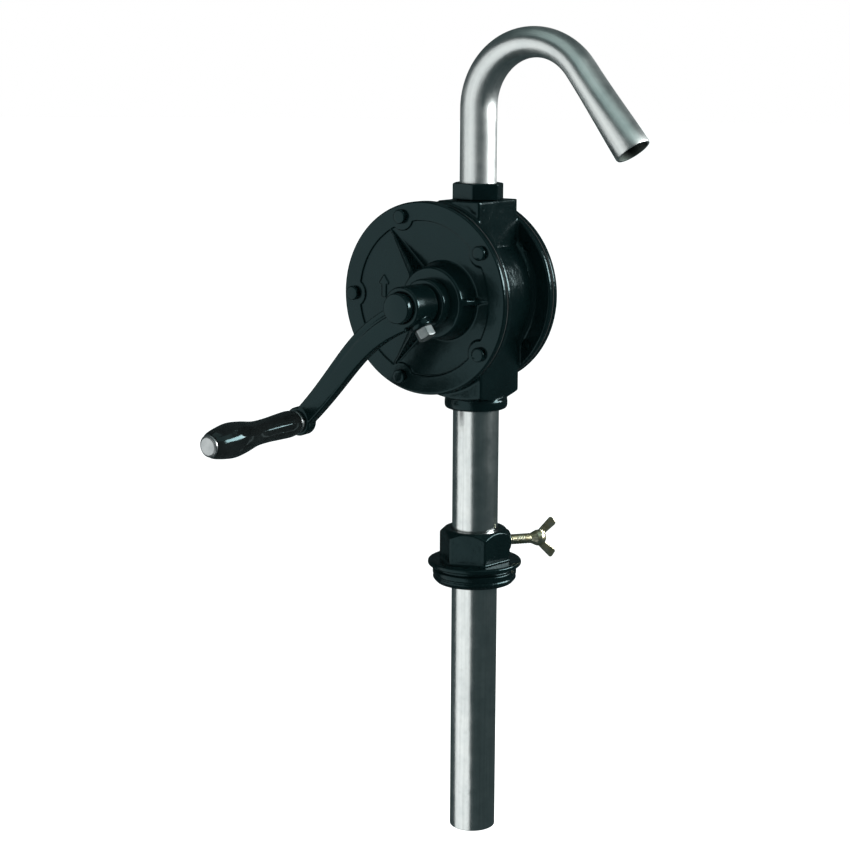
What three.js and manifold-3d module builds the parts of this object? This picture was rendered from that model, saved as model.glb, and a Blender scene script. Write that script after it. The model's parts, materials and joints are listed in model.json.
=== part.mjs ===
// Hand-cranked rotary vane pump for emptying drums, in millimetres, +Z up.
// The origin is on the suction tube's axis, at the underside of the bung adapter's collar, which
// rests on the drum. The pump's shaft runs along Y and the crank is on the -Y side.
import * as THREE from 'three';
import { mergeVertices } from 'three/addons/utils/BufferGeometryUtils.js';
import Module from 'manifold-3d';

const wasm = await Module();
wasm.setup();

// ---- driving dimensions -------------------------------------------------------------------------

// suction tubes
const TUBE_R = 16.85; // 1 inch pipe
const TUBE_WALL = 2.5;
const TUBE_BOTTOM = -202;
const TUBE_TOP = 133;
const INNER_TUBE_R = 12.1;
const INNER_TUBE_WALL = 1.6;
const INNER_TUBE_LENGTH = 285;
const GUIDE_LENGTH = 12;

// bung adapter
const COLLAR_R = 34.6;
const COLLAR_HEIGHT = 4;
const BUNG_THREAD_R = 31;
const BUNG_THREAD_LENGTH = 12.8;
const BUNG_GROOVE_Z = -7.4; // between the skirt's two bands
const BUNG_HEX_FLATS = 46.6;
const BUNG_HEX_TOP = 27.6;
const STEM_BORE_R = 17.1;
const SEAL_GROOVE_R = 19.8;
const SEAL_GROOVE_LOW = -3;
const SEAL_GROOVE_HIGH = 4;
const CLAMP_AZIMUTH = 50.4; // degrees from +X
const CLAMP_Z = 16.5;
const CLAMP_PAD_R = 8;
const CLAMP_PAD_REACH = 26.5;
const CLAMP_SHANK_R = 3.9;
const CLAMP_SHANK_END = 44;
const WING_THICKNESS = 2.2;

// pump casing
const CASING_X = -23;
const CASING_Z = 199;
const BORE_R = 49.5;
const BARREL_R = 55;
const FLANGE_R = 69.5;
const BLOCK_HALF_DEPTH = 25.1;
const FLANGE_THICKNESS = 5.2;
const GASKET_THICKNESS = 0.8;
const COVER_THICKNESS = 5;
const BOLT_CIRCLE_R = 60.8;
const BOLT_COUNT = 5;
const BOLT_R = 3;
const BOLT_HEAD_R = 5.2;
const BOLT_HEAD_HEIGHT = 3.6;
const OUTLET_SEAL_HEIGHT = 5;
const UPPER_BLOCK_WIDTH = 36;
const LOWER_BLOCK_WIDTH = 42;
const PORT_BLOCK_TOP = 70; // above the shaft
const PORT_BLOCK_BOTTOM = -69.5;
const INLET_COLLAR_R = 23;
const INLET_COLLAR_TOP = -73;
const INLET_COLLAR_BOTTOM = -81.5;
const INLET_BORE_R = 17.15;
const OUTLET_BORE_R = 15.8;
const OUTLET_SEAT = 53;
const PASSAGE_R = 12.5;
const PASSAGE_REACH = 20; // how near the shaft's level the ports' passages come

// covers
const RECESS_R = 56;
const RECESS_DEPTH = 1.6;
const SCALLOP_R = 9.8;
const BOSS_BASE_R = 28.4;
const BOSS_TOP_R = 25.3;
const BOSS_HEIGHT = 15;
const REAR_BOSS_HEIGHT = 13;
const RIB_ANGLES = [3, 134, -131];
const RIB_ROOT = 12;
const ARROW_X = -34.5;
const ARROW_TIP = 15;
const HUB_POCKET_R = 22.3;
const HUB_POCKET_DEPTH = 5.4;
const BUSH_R = 14;
const PACKING_R = 16;
const PACKING_DEPTH = 8;
const PACKING_RING_HEIGHT = 2.9;
const REAR_BOSS_END = 4; // thickness left at the blind end of the rear boss
const GLAND_R = 17.6;
const GLAND_HEIGHT = 9.2;

// rotor
const SHAFT_OFFSET = 17.5; // the shaft stands this far from the casing's centre, towards the ports
const SHAFT_R = 10.7;
const REAR_JOURNAL_R = 8;
const ROTOR_R = 31.85;
const ROTOR_FLANGE_R = 22;
const ROTOR_FLANGE_THICKNESS = 5;
const VANE_THICKNESS = 8;

// crank
const HUB_R = 14.6;
const ARM_WIDTH_AT_HUB = 20.5;
const ARM_WIDTH_AT_GRIP = 14.5;
const ARM_DEPTH_AT_HUB = 8.6;
const ARM_DEPTH_AT_GRIP = 10;
const ARM_Y_AT_HUB = -82.6;
const ARM_ROOT_DROP = 6.5; // the arm grows out of the hub below the shaft's axis
const HUB_FRONT = -87.1;
const HUB_BACK = -61.5;
const SHAFT_END = -93.2;
const CRANK_END = new THREE.Vector3(-86, -89, -88); // from the shaft's axis
const SET_SCREW_ANGLE = -55;
const SET_SCREW_Y = -75;
const SET_SCREW_R = 3.9;
const SET_SCREW_FLATS = 12;
const SET_SCREW_HEAD = 7.5;
const SCREW_PAD_R = 7.6;
const SCREW_PAD_HEIGHT = 3.4;
const GRIP_LENGTH = 85.5;
const GRIP_TILT = 3; // degrees, away from the shaft
const GRIP_PIN_R = 4;
const GRIP_PIN_HEAD_R = 7.8;
const END_BOSS_R = 10.5;
const END_BOSS_HALF = 5;
const GRIP_WASHER_R = 8.3;
const GRIP_WASHER_THICKNESS = 3;

// spout
const SPOUT_R = 13.3;
const SPOUT_WALL = 2.3;
const SPOUT_FOOT = 254;
const SPOUT_BEND_Z = 334;
const SPOUT_BEND_R = 46.5;
const SPOUT_BEND = THREE.MathUtils.degToRad(142.5);
const SPOUT_LEG = 69.5;
const NUT_FLATS = 33.4;
const NUT_HEIGHT = 12;
const NUT_TURN = -8.9; // degrees, where one of its corners points

// facets in a turn
const FINE = 40;
const MEDIUM = 24;
const SMALL = 16;
const COARSE = 12;

// clearances
const RUNNING_GAP = 0.12;
const GAP = 0.3;

const CHAMBER_HALF = BLOCK_HALF_DEPTH + FLANGE_THICKNESS + GASKET_THICKNESS;
const COVER_FACE = CHAMBER_HALF + COVER_THICKNESS;
const BOSS_FACE = COVER_FACE + BOSS_HEIGHT;
const RECESS_FLOOR = -COVER_FACE + RECESS_DEPTH;
const SUNK = 0.6; // how far a rib or a mark runs into what it stands on
const ROTOR_HALF = CHAMBER_HALF - GAP;
const rad = THREE.MathUtils.degToRad;

// ---- solids -------------------------------------------------------------------------------------

/** A closed geometry as a manifold solid, turned inside out first if its faces point inwards. */
function solid(geometry) {
  const bare = new THREE.BufferGeometry();
  bare.setAttribute('position', geometry.getAttribute('position').clone());
  if (geometry.index) bare.setIndex(geometry.index.clone());
  const merged = mergeVertices(bare, 1e-4);
  const vertProperties = new Float32Array(merged.getAttribute('position').array);
  const corners = Array.from(merged.index.array);
  const triVerts = [];
  for (let i = 0; i < corners.length; i += 3) {
    const [a, b, c] = corners.slice(i, i + 3);
    if (a !== b && b !== c && a !== c) triVerts.push(a, b, c);
  }
  if (signedVolume(vertProperties, triVerts) < 0) triVerts.reverse();
  return new wasm.Manifold(new wasm.Mesh({
    numProp: 3, vertProperties, triVerts: Uint32Array.from(triVerts),
  }));
}

function signedVolume(xyz, triangles) {
  const at = (i) => new THREE.Vector3(xyz[3 * i], xyz[3 * i + 1], xyz[3 * i + 2]);
  let six = 0;
  for (let i = 0; i < triangles.length; i += 3) {
    six += at(triangles[i]).dot(at(triangles[i + 1]).cross(at(triangles[i + 2])));
  }
  return six;
}

function toGeometry(manifold) {
  const mesh = manifold.getMesh();
  const geometry = new THREE.BufferGeometry();
  geometry.setAttribute('position', new THREE.BufferAttribute(new Float32Array(mesh.vertProperties), 3));
  geometry.setIndex(new THREE.BufferAttribute(new Uint32Array(mesh.triVerts), 1));
  return geometry;
}

const union = (...solids) => solids.reduce((a, b) => a.add(b));
const cut = (body, ...tools) => tools.reduce((a, b) => a.subtract(b), body);

/** Turns a profile of [radius, height] points about the Y axis. */
function turned(profile, segments = MEDIUM) {
  const points = profile.map(([r, h]) => new THREE.Vector2(r, h));
  return new THREE.LatheGeometry(points, segments);
}

/** The same about the Z axis. */
const turnedZ = (profile, segments = MEDIUM) => turned(profile, segments).rotateX(Math.PI / 2);

const ringProfile = (inner, outer, low, high) => [
  [inner, low], [outer, low], [outer, high], [inner, high], [inner, low],
];
const rodProfile = (radius, low, high) => [[0, low], [radius, low], [radius, high], [0, high]];

/** A ring or rod along Z, with both outer edges chamfered. */
function chamferedProfile(inner, outer, low, high, chamfer) {
  return [
    [inner, low], [outer - chamfer, low], [outer, low + chamfer],
    [outer, high - chamfer], [outer - chamfer, high], [inner, high],
    ...(inner > 0 ? [[inner, low]] : []),
  ];
}

const rodY = (radius, low, high, segments = MEDIUM) => turned(rodProfile(radius, low, high), segments);
const rodZ = (radius, low, high, segments = MEDIUM) => turnedZ(rodProfile(radius, low, high), segments);

/** A box given by its low and high corners. */
function block(low, high) {
  const size = high.map((v, i) => v - low[i]);
  return new THREE.BoxGeometry(...size).translate(...high.map((v, i) => (v + low[i]) / 2));
}

/** A regular hexagon across flats, as an upright prism with a corner pointing along `turn` degrees. */
function hexPrism(flats, low, high, turn) {
  const shape = new THREE.Shape();
  const r = flats / Math.sqrt(3);
  for (let k = 0; k < 6; k += 1) {
    const a = rad(turn + 60 * k);
    shape[k ? 'lineTo' : 'moveTo'](r * Math.cos(a), r * Math.sin(a));
  }
  shape.closePath();
  return new THREE.ExtrudeGeometry(shape, { depth: high - low, bevelEnabled: false })
    .translate(0, 0, low);
}

/** A closed skin over a row of sections, each a ring of the same number of points. */
function loft(sections) {
  const n = sections[0].length;
  const positions = sections.flat().flatMap((p) => [p.x, p.y, p.z]);
  const index = [];
  for (let s = 0; s < sections.length - 1; s += 1) {
    for (let k = 0; k < n; k += 1) {
      const a = s * n + k;
      const b = s * n + ((k + 1) % n);
      index.push(a, b, a + n, b, b + n, a + n);
    }
  }
  const last = (sections.length - 1) * n;
  for (let k = 1; k < n - 1; k += 1) {
    index.push(0, k + 1, k, last, last + k, last + k + 1);
  }
  const geometry = new THREE.BufferGeometry();
  geometry.setAttribute('position', new THREE.Float32BufferAttribute(positions, 3));
  geometry.setIndex(index);
  return geometry;
}

// ---- materials ----------------------------------------------------------------------------------

/** A function that makes one more material of this kind, because each mesh has its own. */
const finish = (color, roughness, metalness) => (
  () => new THREE.MeshStandardMaterial({ color, roughness, metalness })
);
const paint = finish(0x1c2827, 0.32, 0.1);
const galvanised = finish(0xa9b2ae, 0.38, 0.9);
const zinc = finish(0xc4caca, 0.3, 0.95);
const yellowZinc = finish(0xb3ab86, 0.35, 0.9);
const steel = finish(0x8f9494, 0.35, 1);
const iron = finish(0x5b5f60, 0.5, 0.9);
const bronze = finish(0xa9814a, 0.4, 0.9);
const glossBlack = finish(0x0c0f0f, 0.12, 0);
const rubber = finish(0x161616, 0.75, 0);
const fibre = finish(0x2c2b2a, 0.85, 0);
const acetal = finish(0xd8d5c8, 0.45, 0);

function piece(parent, name, shape, material) {
  const geometry = shape.isBufferGeometry ? toGeometry(solid(shape)) : toGeometry(shape);
  const mesh = new THREE.Mesh(geometry, material());
  mesh.name = name;
  parent.add(mesh);
  return mesh;
}

function groupAt(parent, x, y, z) {
  const group = new THREE.Group();
  group.position.set(x, y, z);
  parent.add(group);
  return group;
}

// ---- bung adapter, its seal and its wing screw --------------------------------------------------

function addBung(parent) {
  const edge = 1.4;
  const relief = BUNG_THREAD_R - 1.6;
  const skirt = turnedZ([
    [0, -BUNG_THREAD_LENGTH], [BUNG_THREAD_R - 3.2, -BUNG_THREAD_LENGTH],
    [BUNG_THREAD_R - 0.5, -BUNG_THREAD_LENGTH + 2.6], [BUNG_THREAD_R, BUNG_GROOVE_Z - 1],
    [BUNG_THREAD_R - 1, BUNG_GROOVE_Z], [BUNG_THREAD_R, BUNG_GROOVE_Z + 1],
    [BUNG_THREAD_R, -3.4], [relief, -2.2], [relief, 0],
    [COLLAR_R - edge, 0], [COLLAR_R, edge], [COLLAR_R, COLLAR_HEIGHT - edge / 2],
    [COLLAR_R - edge, COLLAR_HEIGHT], [20, COLLAR_HEIGHT + 0.4], [0, COLLAR_HEIGHT + 0.4],
  ], MEDIUM);
  const faceR = BUNG_HEX_FLATS / 2 - 0.8;
  const slope = 9; // how far out, and down, the hexagon's chamfer cone runs
  const hex = solid(hexPrism(BUNG_HEX_FLATS, 1, BUNG_HEX_TOP, CLAMP_AZIMUTH - 30))
    .intersect(solid(turnedZ([
      [0, 0], [faceR + slope, 0], [faceR + slope, BUNG_HEX_TOP - slope],
      [faceR, BUNG_HEX_TOP], [0, BUNG_HEX_TOP],
    ], MEDIUM)));
  const towardsClamp = (geometry) => geometry.rotateZ(rad(CLAMP_AZIMUTH)).translate(0, 0, CLAMP_Z);
  const pad = towardsClamp(rodZ(CLAMP_PAD_R, STEM_BORE_R + 1, CLAMP_PAD_REACH, SMALL).rotateY(Math.PI / 2));
  const clampHole = towardsClamp(
    rodZ(CLAMP_SHANK_R + 0.1, STEM_BORE_R - 7, CLAMP_PAD_REACH + 10, SMALL).rotateY(Math.PI / 2),
  );
  const adapter = cut(
    union(solid(skirt), hex, solid(pad)),
    solid(rodZ(STEM_BORE_R, -BUNG_THREAD_LENGTH - 1, BUNG_HEX_TOP + 1, MEDIUM)),
    solid(rodZ(SEAL_GROOVE_R, SEAL_GROOVE_LOW, SEAL_GROOVE_HIGH, MEDIUM)),
    solid(clampHole),
  );
  piece(parent, 'bung_adapter', adapter, paint);

  const seal = turnedZ(chamferedProfile(
    TUBE_R + RUNNING_GAP, SEAL_GROOVE_R - GAP, SEAL_GROOVE_LOW + GAP, SEAL_GROOVE_HIGH - GAP, 1,
  ), MEDIUM);
  piece(parent, 'bung_seal_ring', seal, rubber);
}

/** The screw lies along its own +X axis, with both wings in its XZ plane. */
function addWingScrew(parent) {
  const screw = groupAt(parent, 0, 0, CLAMP_Z);
  screw.rotation.z = rad(CLAMP_AZIMUTH);
  const tip = TUBE_R + GAP;
  const shank = turned([
    [0, tip], [2.6, tip], [CLAMP_SHANK_R, tip + 1.3], [CLAMP_SHANK_R, CLAMP_SHANK_END],
    [5.8, 48], [6.2, 51], [4.6, 53.5], [2.6, 55], [0, 55.6],
  ], SMALL).rotateZ(-Math.PI / 2);
  const outline = new THREE.Shape();
  outline.moveTo(46.5, 2.5);
  outline.lineTo(49.5, 1);
  outline.lineTo(53.5, 2.2);
  outline.lineTo(62.6, 9.4);
  outline.lineTo(63.2, 11);
  outline.lineTo(59.8, 15.3);
  outline.lineTo(58, 15.4);
  outline.closePath();
  const wing = () => new THREE.ExtrudeGeometry(
    outline, { depth: WING_THICKNESS, bevelEnabled: false },
  ).translate(0, 0, -WING_THICKNESS / 2);
  const wings = [Math.PI / 2, -Math.PI / 2].map((turn) => solid(wing().rotateX(turn)));
  piece(screw, 'wing_screw', union(solid(shank), ...wings), yellowZinc);
}

// ---- suction tubes ------------------------------------------------------------------------------

function addSuctionTubes(parent) {
  const bore = TUBE_R - TUBE_WALL;
  piece(parent, 'suction_tube',
    turnedZ(ringProfile(bore, TUBE_R, TUBE_BOTTOM, TUBE_TOP), MEDIUM), galvanised);
  const inset = 0.5;
  piece(parent, 'tube_end_bush', turnedZ(ringProfile(
    INNER_TUBE_R + RUNNING_GAP, bore - RUNNING_GAP, TUBE_BOTTOM + inset, TUBE_BOTTOM + inset + GUIDE_LENGTH,
  )), acetal);
  const top = TUBE_BOTTOM + INNER_TUBE_LENGTH;
  const guideTop = top - 2;
  piece(parent, 'inner_suction_tube', turnedZ(ringProfile(
    INNER_TUBE_R - INNER_TUBE_WALL, INNER_TUBE_R, TUBE_BOTTOM, top,
  )), galvanised);
  piece(parent, 'inner_tube_guide', turnedZ(ringProfile(
    INNER_TUBE_R + 0.05, bore - RUNNING_GAP, guideTop - GUIDE_LENGTH, guideTop,
  )), acetal);
}

// ---- pump casing, built about its own centre ----------------------------------------------------

/** Calls `make` with each cover bolt's index and its place on the bolt circle. */
function eachBolt(make) {
  for (let k = 0; k < BOLT_COUNT; k += 1) {
    const a = Math.PI + (2 * Math.PI * k) / BOLT_COUNT;
    make(k + 1, BOLT_CIRCLE_R * Math.cos(a), BOLT_CIRCLE_R * Math.sin(a));
  }
}

/** Rods along Y at the cover bolts' places. */
function boltRods(radius, low, high, segments = COARSE) {
  const rods = [];
  eachBolt((k, x, z) => {
    rods.push(solid(rodY(radius, low, high, segments).translate(x, 0, z)));
  });
  return rods;
}

function addCasting(casing) {
  const b = BLOCK_HALF_DEPTH;
  const f = b + FLANGE_THICKNESS;
  const shell = solid(turned([
    [0, -f], [FLANGE_R, -f], [FLANGE_R, -b - 1], [FLANGE_R - 1, -b], [BARREL_R + 3, -b],
    [BARREL_R, -b + 3], [BARREL_R, b - 3], [BARREL_R + 3, b], [FLANGE_R - 1, b],
    [FLANGE_R, b + 1], [FLANGE_R, f], [0, f],
  ], FINE));
  const portX = -CASING_X;
  const inY = b + 0.4;
  const portBlock = (width, low, high) => solid(
    block([portX - width / 2, -inY, low], [portX + width / 2, inY, high]),
  );
  const upper = portBlock(UPPER_BLOCK_WIDTH, PASSAGE_REACH, PORT_BLOCK_TOP);
  const cornerR = 36; // a little more than the lower block's corners
  const taper = solid(turnedZ([
    [0, INLET_COLLAR_TOP], [INLET_COLLAR_R - 1.5, INLET_COLLAR_TOP],
    [cornerR, PORT_BLOCK_BOTTOM + 1], [cornerR, 0], [0, 0],
  ]).translate(portX, 0, 0));
  const lower = portBlock(LOWER_BLOCK_WIDTH, INLET_COLLAR_TOP, -PASSAGE_REACH).intersect(taper);
  const edge = 2;
  const collar = solid(turnedZ([
    [0, INLET_COLLAR_BOTTOM], [INLET_COLLAR_R - edge, INLET_COLLAR_BOTTOM],
    [INLET_COLLAR_R, INLET_COLLAR_BOTTOM + edge], [INLET_COLLAR_R, INLET_COLLAR_TOP - edge],
    [INLET_COLLAR_R - edge, INLET_COLLAR_TOP + 0.2], [0, INLET_COLLAR_TOP + 0.2],
  ]).translate(portX, 0, 0));
  const upright = (r, low, high) => solid(rodZ(r, low, high).translate(portX, 0, 0));
  const tubeStop = TUBE_TOP - CASING_Z + GAP;
  const casting = cut(
    union(shell, upper, lower, collar),
    solid(rodY(BORE_R, -f - 1, f + 1, FINE)),
    upright(PASSAGE_R, PASSAGE_REACH, PORT_BLOCK_TOP + 1),
    upright(OUTLET_BORE_R, OUTLET_SEAT, PORT_BLOCK_TOP + 1),
    upright(PASSAGE_R, INLET_COLLAR_BOTTOM - 1, -PASSAGE_REACH),
    upright(INLET_BORE_R, INLET_COLLAR_BOTTOM - 1, tubeStop),
    ...boltRods(BOLT_R + RUNNING_GAP, -f - 1, f + 1),
  );
  piece(casing, 'pump_body', casting, paint);
}

/** A wedge from the boss down to the recess: `angle` degrees about the shaft, tip on the cover. */
function coverRib(angle, tipR) {
  const a = rad(angle);
  const ahead = SHAFT_OFFSET * Math.cos(a);
  const length = Math.sqrt(tipR ** 2 - (SHAFT_OFFSET * Math.sin(a)) ** 2) - ahead;
  const plan = new THREE.Shape();
  plan.moveTo(RIB_ROOT, -4);
  plan.lineTo(BOSS_TOP_R, -3.2);
  plan.lineTo(length, -0.9);
  plan.lineTo(length, 0.9);
  plan.lineTo(BOSS_TOP_R, 3.2);
  plan.lineTo(RIB_ROOT, 4);
  plan.closePath();
  const side = new THREE.Shape();
  side.moveTo(RIB_ROOT, 0);
  side.lineTo(length + 1, 0);
  side.lineTo(length + 1, 2);
  side.lineTo(length - 4, 2.4);
  side.lineTo(BOSS_TOP_R - 1, BOSS_HEIGHT + 0.6);
  side.lineTo(RIB_ROOT, BOSS_HEIGHT + 0.6);
  side.closePath();
  const reach = 2 * BOSS_HEIGHT; // more than the wedge's height and width
  const flat = solid(new THREE.ExtrudeGeometry(plan, { depth: reach, bevelEnabled: false }));
  const upright = solid(new THREE.ExtrudeGeometry(side, { depth: reach, bevelEnabled: false })
    .rotateX(Math.PI / 2).translate(0, reach / 2, 0));
  // the wedge is made flat, with its height along Z, and is then stood on the cover's face
  const wedge = toGeometry(flat.intersect(upright)).rotateX(Math.PI / 2).rotateY(-a);
  return solid(wedge.translate(SHAFT_OFFSET, RECESS_FLOOR + SUNK, 0));
}

/** The raised arrow that shows which way the crank turns: clockwise, seen from the crank. */
function coverArrow() {
  const arrow = new THREE.Shape();
  arrow.moveTo(-1.9, -1);
  arrow.lineTo(1.9, -1);
  arrow.lineTo(1.9, 8.5);
  arrow.lineTo(4.6, 8.5);
  arrow.lineTo(0, ARROW_TIP);
  arrow.lineTo(-4.6, 8.5);
  arrow.lineTo(-1.9, 8.5);
  arrow.closePath();
  return solid(new THREE.ExtrudeGeometry(arrow, { depth: 1.6, bevelEnabled: false })
    .rotateX(Math.PI / 2).translate(ARROW_X, RECESS_FLOOR + SUNK, 0));
}

/** Cover, lying on the -Y side, with its boss about the shaft. */
function coverBlank(bossHeight) {
  const edge = 1.2;
  const plate = solid(turned([
    [0, -COVER_FACE], [FLANGE_R - edge, -COVER_FACE], [FLANGE_R, -COVER_FACE + edge],
    [FLANGE_R, -CHAMBER_HALF], [0, -CHAMBER_HALF],
  ], FINE));
  const recess = solid(rodY(RECESS_R, -COVER_FACE - 1, RECESS_FLOOR, FINE));
  const scallops = boltRods(SCALLOP_R, -COVER_FACE - 2, RECESS_FLOOR + SUNK, SMALL);
  const holes = boltRods(BOLT_R + RUNNING_GAP, -COVER_FACE - 1, 0);
  const face = COVER_FACE + bossHeight;
  const slope = ((BOSS_BASE_R - BOSS_TOP_R) * bossHeight) / BOSS_HEIGHT;
  const boss = solid(turned([
    [0, -face], [BOSS_BASE_R - slope - 1.2, -face], [BOSS_BASE_R - slope, -face + 1.2],
    [BOSS_BASE_R, RECESS_FLOOR], [BOSS_BASE_R, -CHAMBER_HALF], [0, -CHAMBER_HALF],
  ]).translate(SHAFT_OFFSET, 0, 0));
  const dished = cut(plate, cut(recess, ...scallops));
  return cut(union(dished, boss), ...holes);
}

const aboutShaft = (geometry) => solid(geometry.translate(SHAFT_OFFSET, 0, 0));

function addFrontCover(casing) {
  const ribs = RIB_ANGLES.map((angle) => coverRib(angle, RECESS_R - 0.6));
  const cover = cut(
    union(coverBlank(BOSS_HEIGHT), ...ribs, coverArrow()),
    aboutShaft(rodY(HUB_POCKET_R, -CHAMBER_HALF - HUB_POCKET_DEPTH, 0)),
    aboutShaft(rodY(BUSH_R, -BOSS_FACE + PACKING_DEPTH - 1, 0)),
    aboutShaft(rodY(PACKING_R, -BOSS_FACE - 1, -BOSS_FACE + PACKING_DEPTH)),
  );
  piece(casing, 'front_cover', cover, paint);
}

function addRearCover(casing) {
  const blank = coverBlank(REAR_BOSS_HEIGHT);
  const bored = cut(
    blank,
    aboutShaft(rodY(HUB_POCKET_R, -CHAMBER_HALF - HUB_POCKET_DEPTH, 0)),
    aboutShaft(rodY(BUSH_R, -COVER_FACE - REAR_BOSS_HEIGHT + REAR_BOSS_END, 0)),
  );
  const turnedOver = toGeometry(bored).rotateZ(Math.PI).scale(-1, 1, 1);
  piece(casing, 'rear_cover', turnedOver, paint);
}

function addGaskets(casing) {
  for (const [name, side] of [['front_gasket', -1], ['rear_gasket', 1]]) {
    const middle = side * (CHAMBER_HALF - GASKET_THICKNESS / 2);
    const half = GASKET_THICKNESS / 2 - 0.1;
    const holes = boltRods(BOLT_R + 0.4, middle - 2, middle + 2);
    const ring = ringProfile(BORE_R + 0.6, FLANGE_R - 0.4, middle - half, middle + half);
    piece(casing, name, cut(solid(turned(ring, FINE)), ...holes), fibre);
  }
}

function addCoverBolts(casing) {
  const end = BLOCK_HALF_DEPTH + 0.4;
  const head = COVER_FACE + GAP / 2;
  const top = head + BOLT_HEAD_HEIGHT;
  for (const [row, side] of [['front', -1], ['rear', 1]]) {
    eachBolt((k, x, z) => {
      const mesh = piece(casing, `${row}_bolt_${k}`, turned([
        [0, end], [BOLT_R, end], [BOLT_R, head],
        [BOLT_HEAD_R, head], [BOLT_HEAD_R, top - 1.2], [BOLT_HEAD_R - 1.4, top], [0, top],
      ], COARSE), paint);
      mesh.position.set(x, 0, z);
      if (side < 0) mesh.rotation.z = Math.PI;
    });
  }
}

function addShaftSeals(casing) {
  const play = 0.2;
  const place = (name, profile, material) => {
    piece(casing, name, turned(profile), material).position.set(SHAFT_OFFSET, 0, 0);
  };
  const bush = (bore, low, high) => ringProfile(bore + RUNNING_GAP, BUSH_R - RUNNING_GAP, low, high);
  const pocket = CHAMBER_HALF + HUB_POCKET_DEPTH + play;
  const rearEnd = COVER_FACE + REAR_BOSS_HEIGHT - REAR_BOSS_END - GAP;
  place('front_bush', bush(SHAFT_R, -BOSS_FACE + PACKING_DEPTH + play, -pocket), bronze);
  place('rear_bush', bush(REAR_JOURNAL_R, pocket, rearEnd), bronze);

  const bore = SHAFT_R + RUNNING_GAP;
  const outside = PACKING_R - play;
  for (let k = 0; k < 2; k += 1) {
    const back = -BOSS_FACE + PACKING_DEPTH - GAP - k * (PACKING_RING_HEIGHT + play);
    place(`packing_ring_${k + 1}`, ringProfile(bore, outside, back - PACKING_RING_HEIGHT, back), fibre);
  }
  const face = -BOSS_FACE - GLAND_HEIGHT;
  const nose = -BOSS_FACE + 1.2;
  place('gland_nut', [
    [bore, face], [GLAND_R - 1, face], [GLAND_R, face + 1], [GLAND_R, -BOSS_FACE - GAP],
    [outside, -BOSS_FACE - GAP], [outside, nose], [bore, nose], [bore, face],
  ], paint);
}

// ---- rotor, vanes and the roller between them, built about the shaft ----------------------------

function addRotor(rotor) {
  const flangeEnd = ROTOR_HALF + ROTOR_FLANGE_THICKNESS;
  const rearEnd = COVER_FACE + REAR_BOSS_HEIGHT - REAR_BOSS_END - 1;
  const drum = solid(turned([
    [0, SHAFT_END], [SHAFT_R - 1, SHAFT_END], [SHAFT_R, SHAFT_END + 1], [SHAFT_R, -flangeEnd],
    [ROTOR_FLANGE_R, -flangeEnd], [ROTOR_FLANGE_R, -ROTOR_HALF], [ROTOR_R, -ROTOR_HALF],
    [ROTOR_R, ROTOR_HALF], [ROTOR_FLANGE_R, ROTOR_HALF], [ROTOR_FLANGE_R, flangeEnd],
    [REAR_JOURNAL_R, flangeEnd], [REAR_JOURNAL_R, rearEnd], [0, rearEnd],
  ], FINE));
  const slot = VANE_THICKNESS / 2;
  const through = solid(block([-slot, -ROTOR_HALF, -ROTOR_R - 1], [slot, ROTOR_HALF, ROTOR_R + 1]));
  piece(rotor, 'rotor_shaft', cut(drum, through), iron);
}

function addVanes(rotor) {
  const half = VANE_THICKNESS / 2 - RUNNING_GAP;
  const rollerR = half;
  const endCentre = Math.sqrt((BORE_R - RUNNING_GAP - half) ** 2 - SHAFT_OFFSET ** 2) - 0.1;
  const y = ROTOR_HALF - 0.2; // half the vanes' length along the shaft
  piece(rotor, 'vane_roller', rodY(rollerR, -y, y, COARSE), steel);
  for (const [name, side] of [['upper_vane', 1], ['lower_vane', -1]]) {
    const plate = new THREE.Shape();
    plate.moveTo(-half, rollerR + RUNNING_GAP);
    plate.lineTo(half, rollerR + RUNNING_GAP);
    plate.lineTo(half, endCentre);
    plate.absarc(0, endCentre, half, 0, Math.PI, false);
    plate.closePath();
    const vane = new THREE.ExtrudeGeometry(
      plate, { depth: 2 * y, bevelEnabled: false, curveSegments: 10 },
    ).rotateX(Math.PI / 2).translate(0, y, 0);
    if (side < 0) vane.rotateY(Math.PI);
    piece(rotor, name, vane, acetal);
  }
}

// ---- crank --------------------------------------------------------------------------------------

/** The arm's centreline from the shaft's axis to the grip, which stands further out than the hub. */
const armCentre = () => new THREE.CubicBezierCurve3(
  new THREE.Vector3(0, ARM_Y_AT_HUB, -ARM_ROOT_DROP), new THREE.Vector3(-42.5, ARM_Y_AT_HUB, -24.5),
  new THREE.Vector3(-45, CRANK_END.y, -50), CRANK_END,
);

function armSection(centre, along, width, depth) {
  const out = new THREE.Vector3(0, -1, 0);
  const across = new THREE.Vector3().crossVectors(along, out).normalize();
  const w = width / 2;
  const d = depth / 2;
  const c = 1.6;
  const outline = [
    [-w, -d + c], [-w + c, -d], [w - c, -d], [w, -d + c],
    [w, d - c], [w - c, d], [-w + c, d], [-w, d - c],
  ];
  return outline.map(([u, v]) => centre.clone().addScaledVector(across, u).addScaledVector(out, v));
}

const gripTurn = () => {
  // tips the grip's axis, which starts along -Y, away from the shaft
  const away = new THREE.Vector3(CRANK_END.x, 0, CRANK_END.z).normalize();
  const axis = new THREE.Vector3(0, -1, 0).multiplyScalar(Math.cos(rad(GRIP_TILT)))
    .addScaledVector(away, Math.sin(rad(GRIP_TILT)));
  return new THREE.Quaternion().setFromUnitVectors(new THREE.Vector3(0, -1, 0), axis);
};

const onGripAxis = (geometry) => geometry.applyQuaternion(gripTurn())
  .translate(CRANK_END.x, CRANK_END.y, CRANK_END.z);

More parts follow.
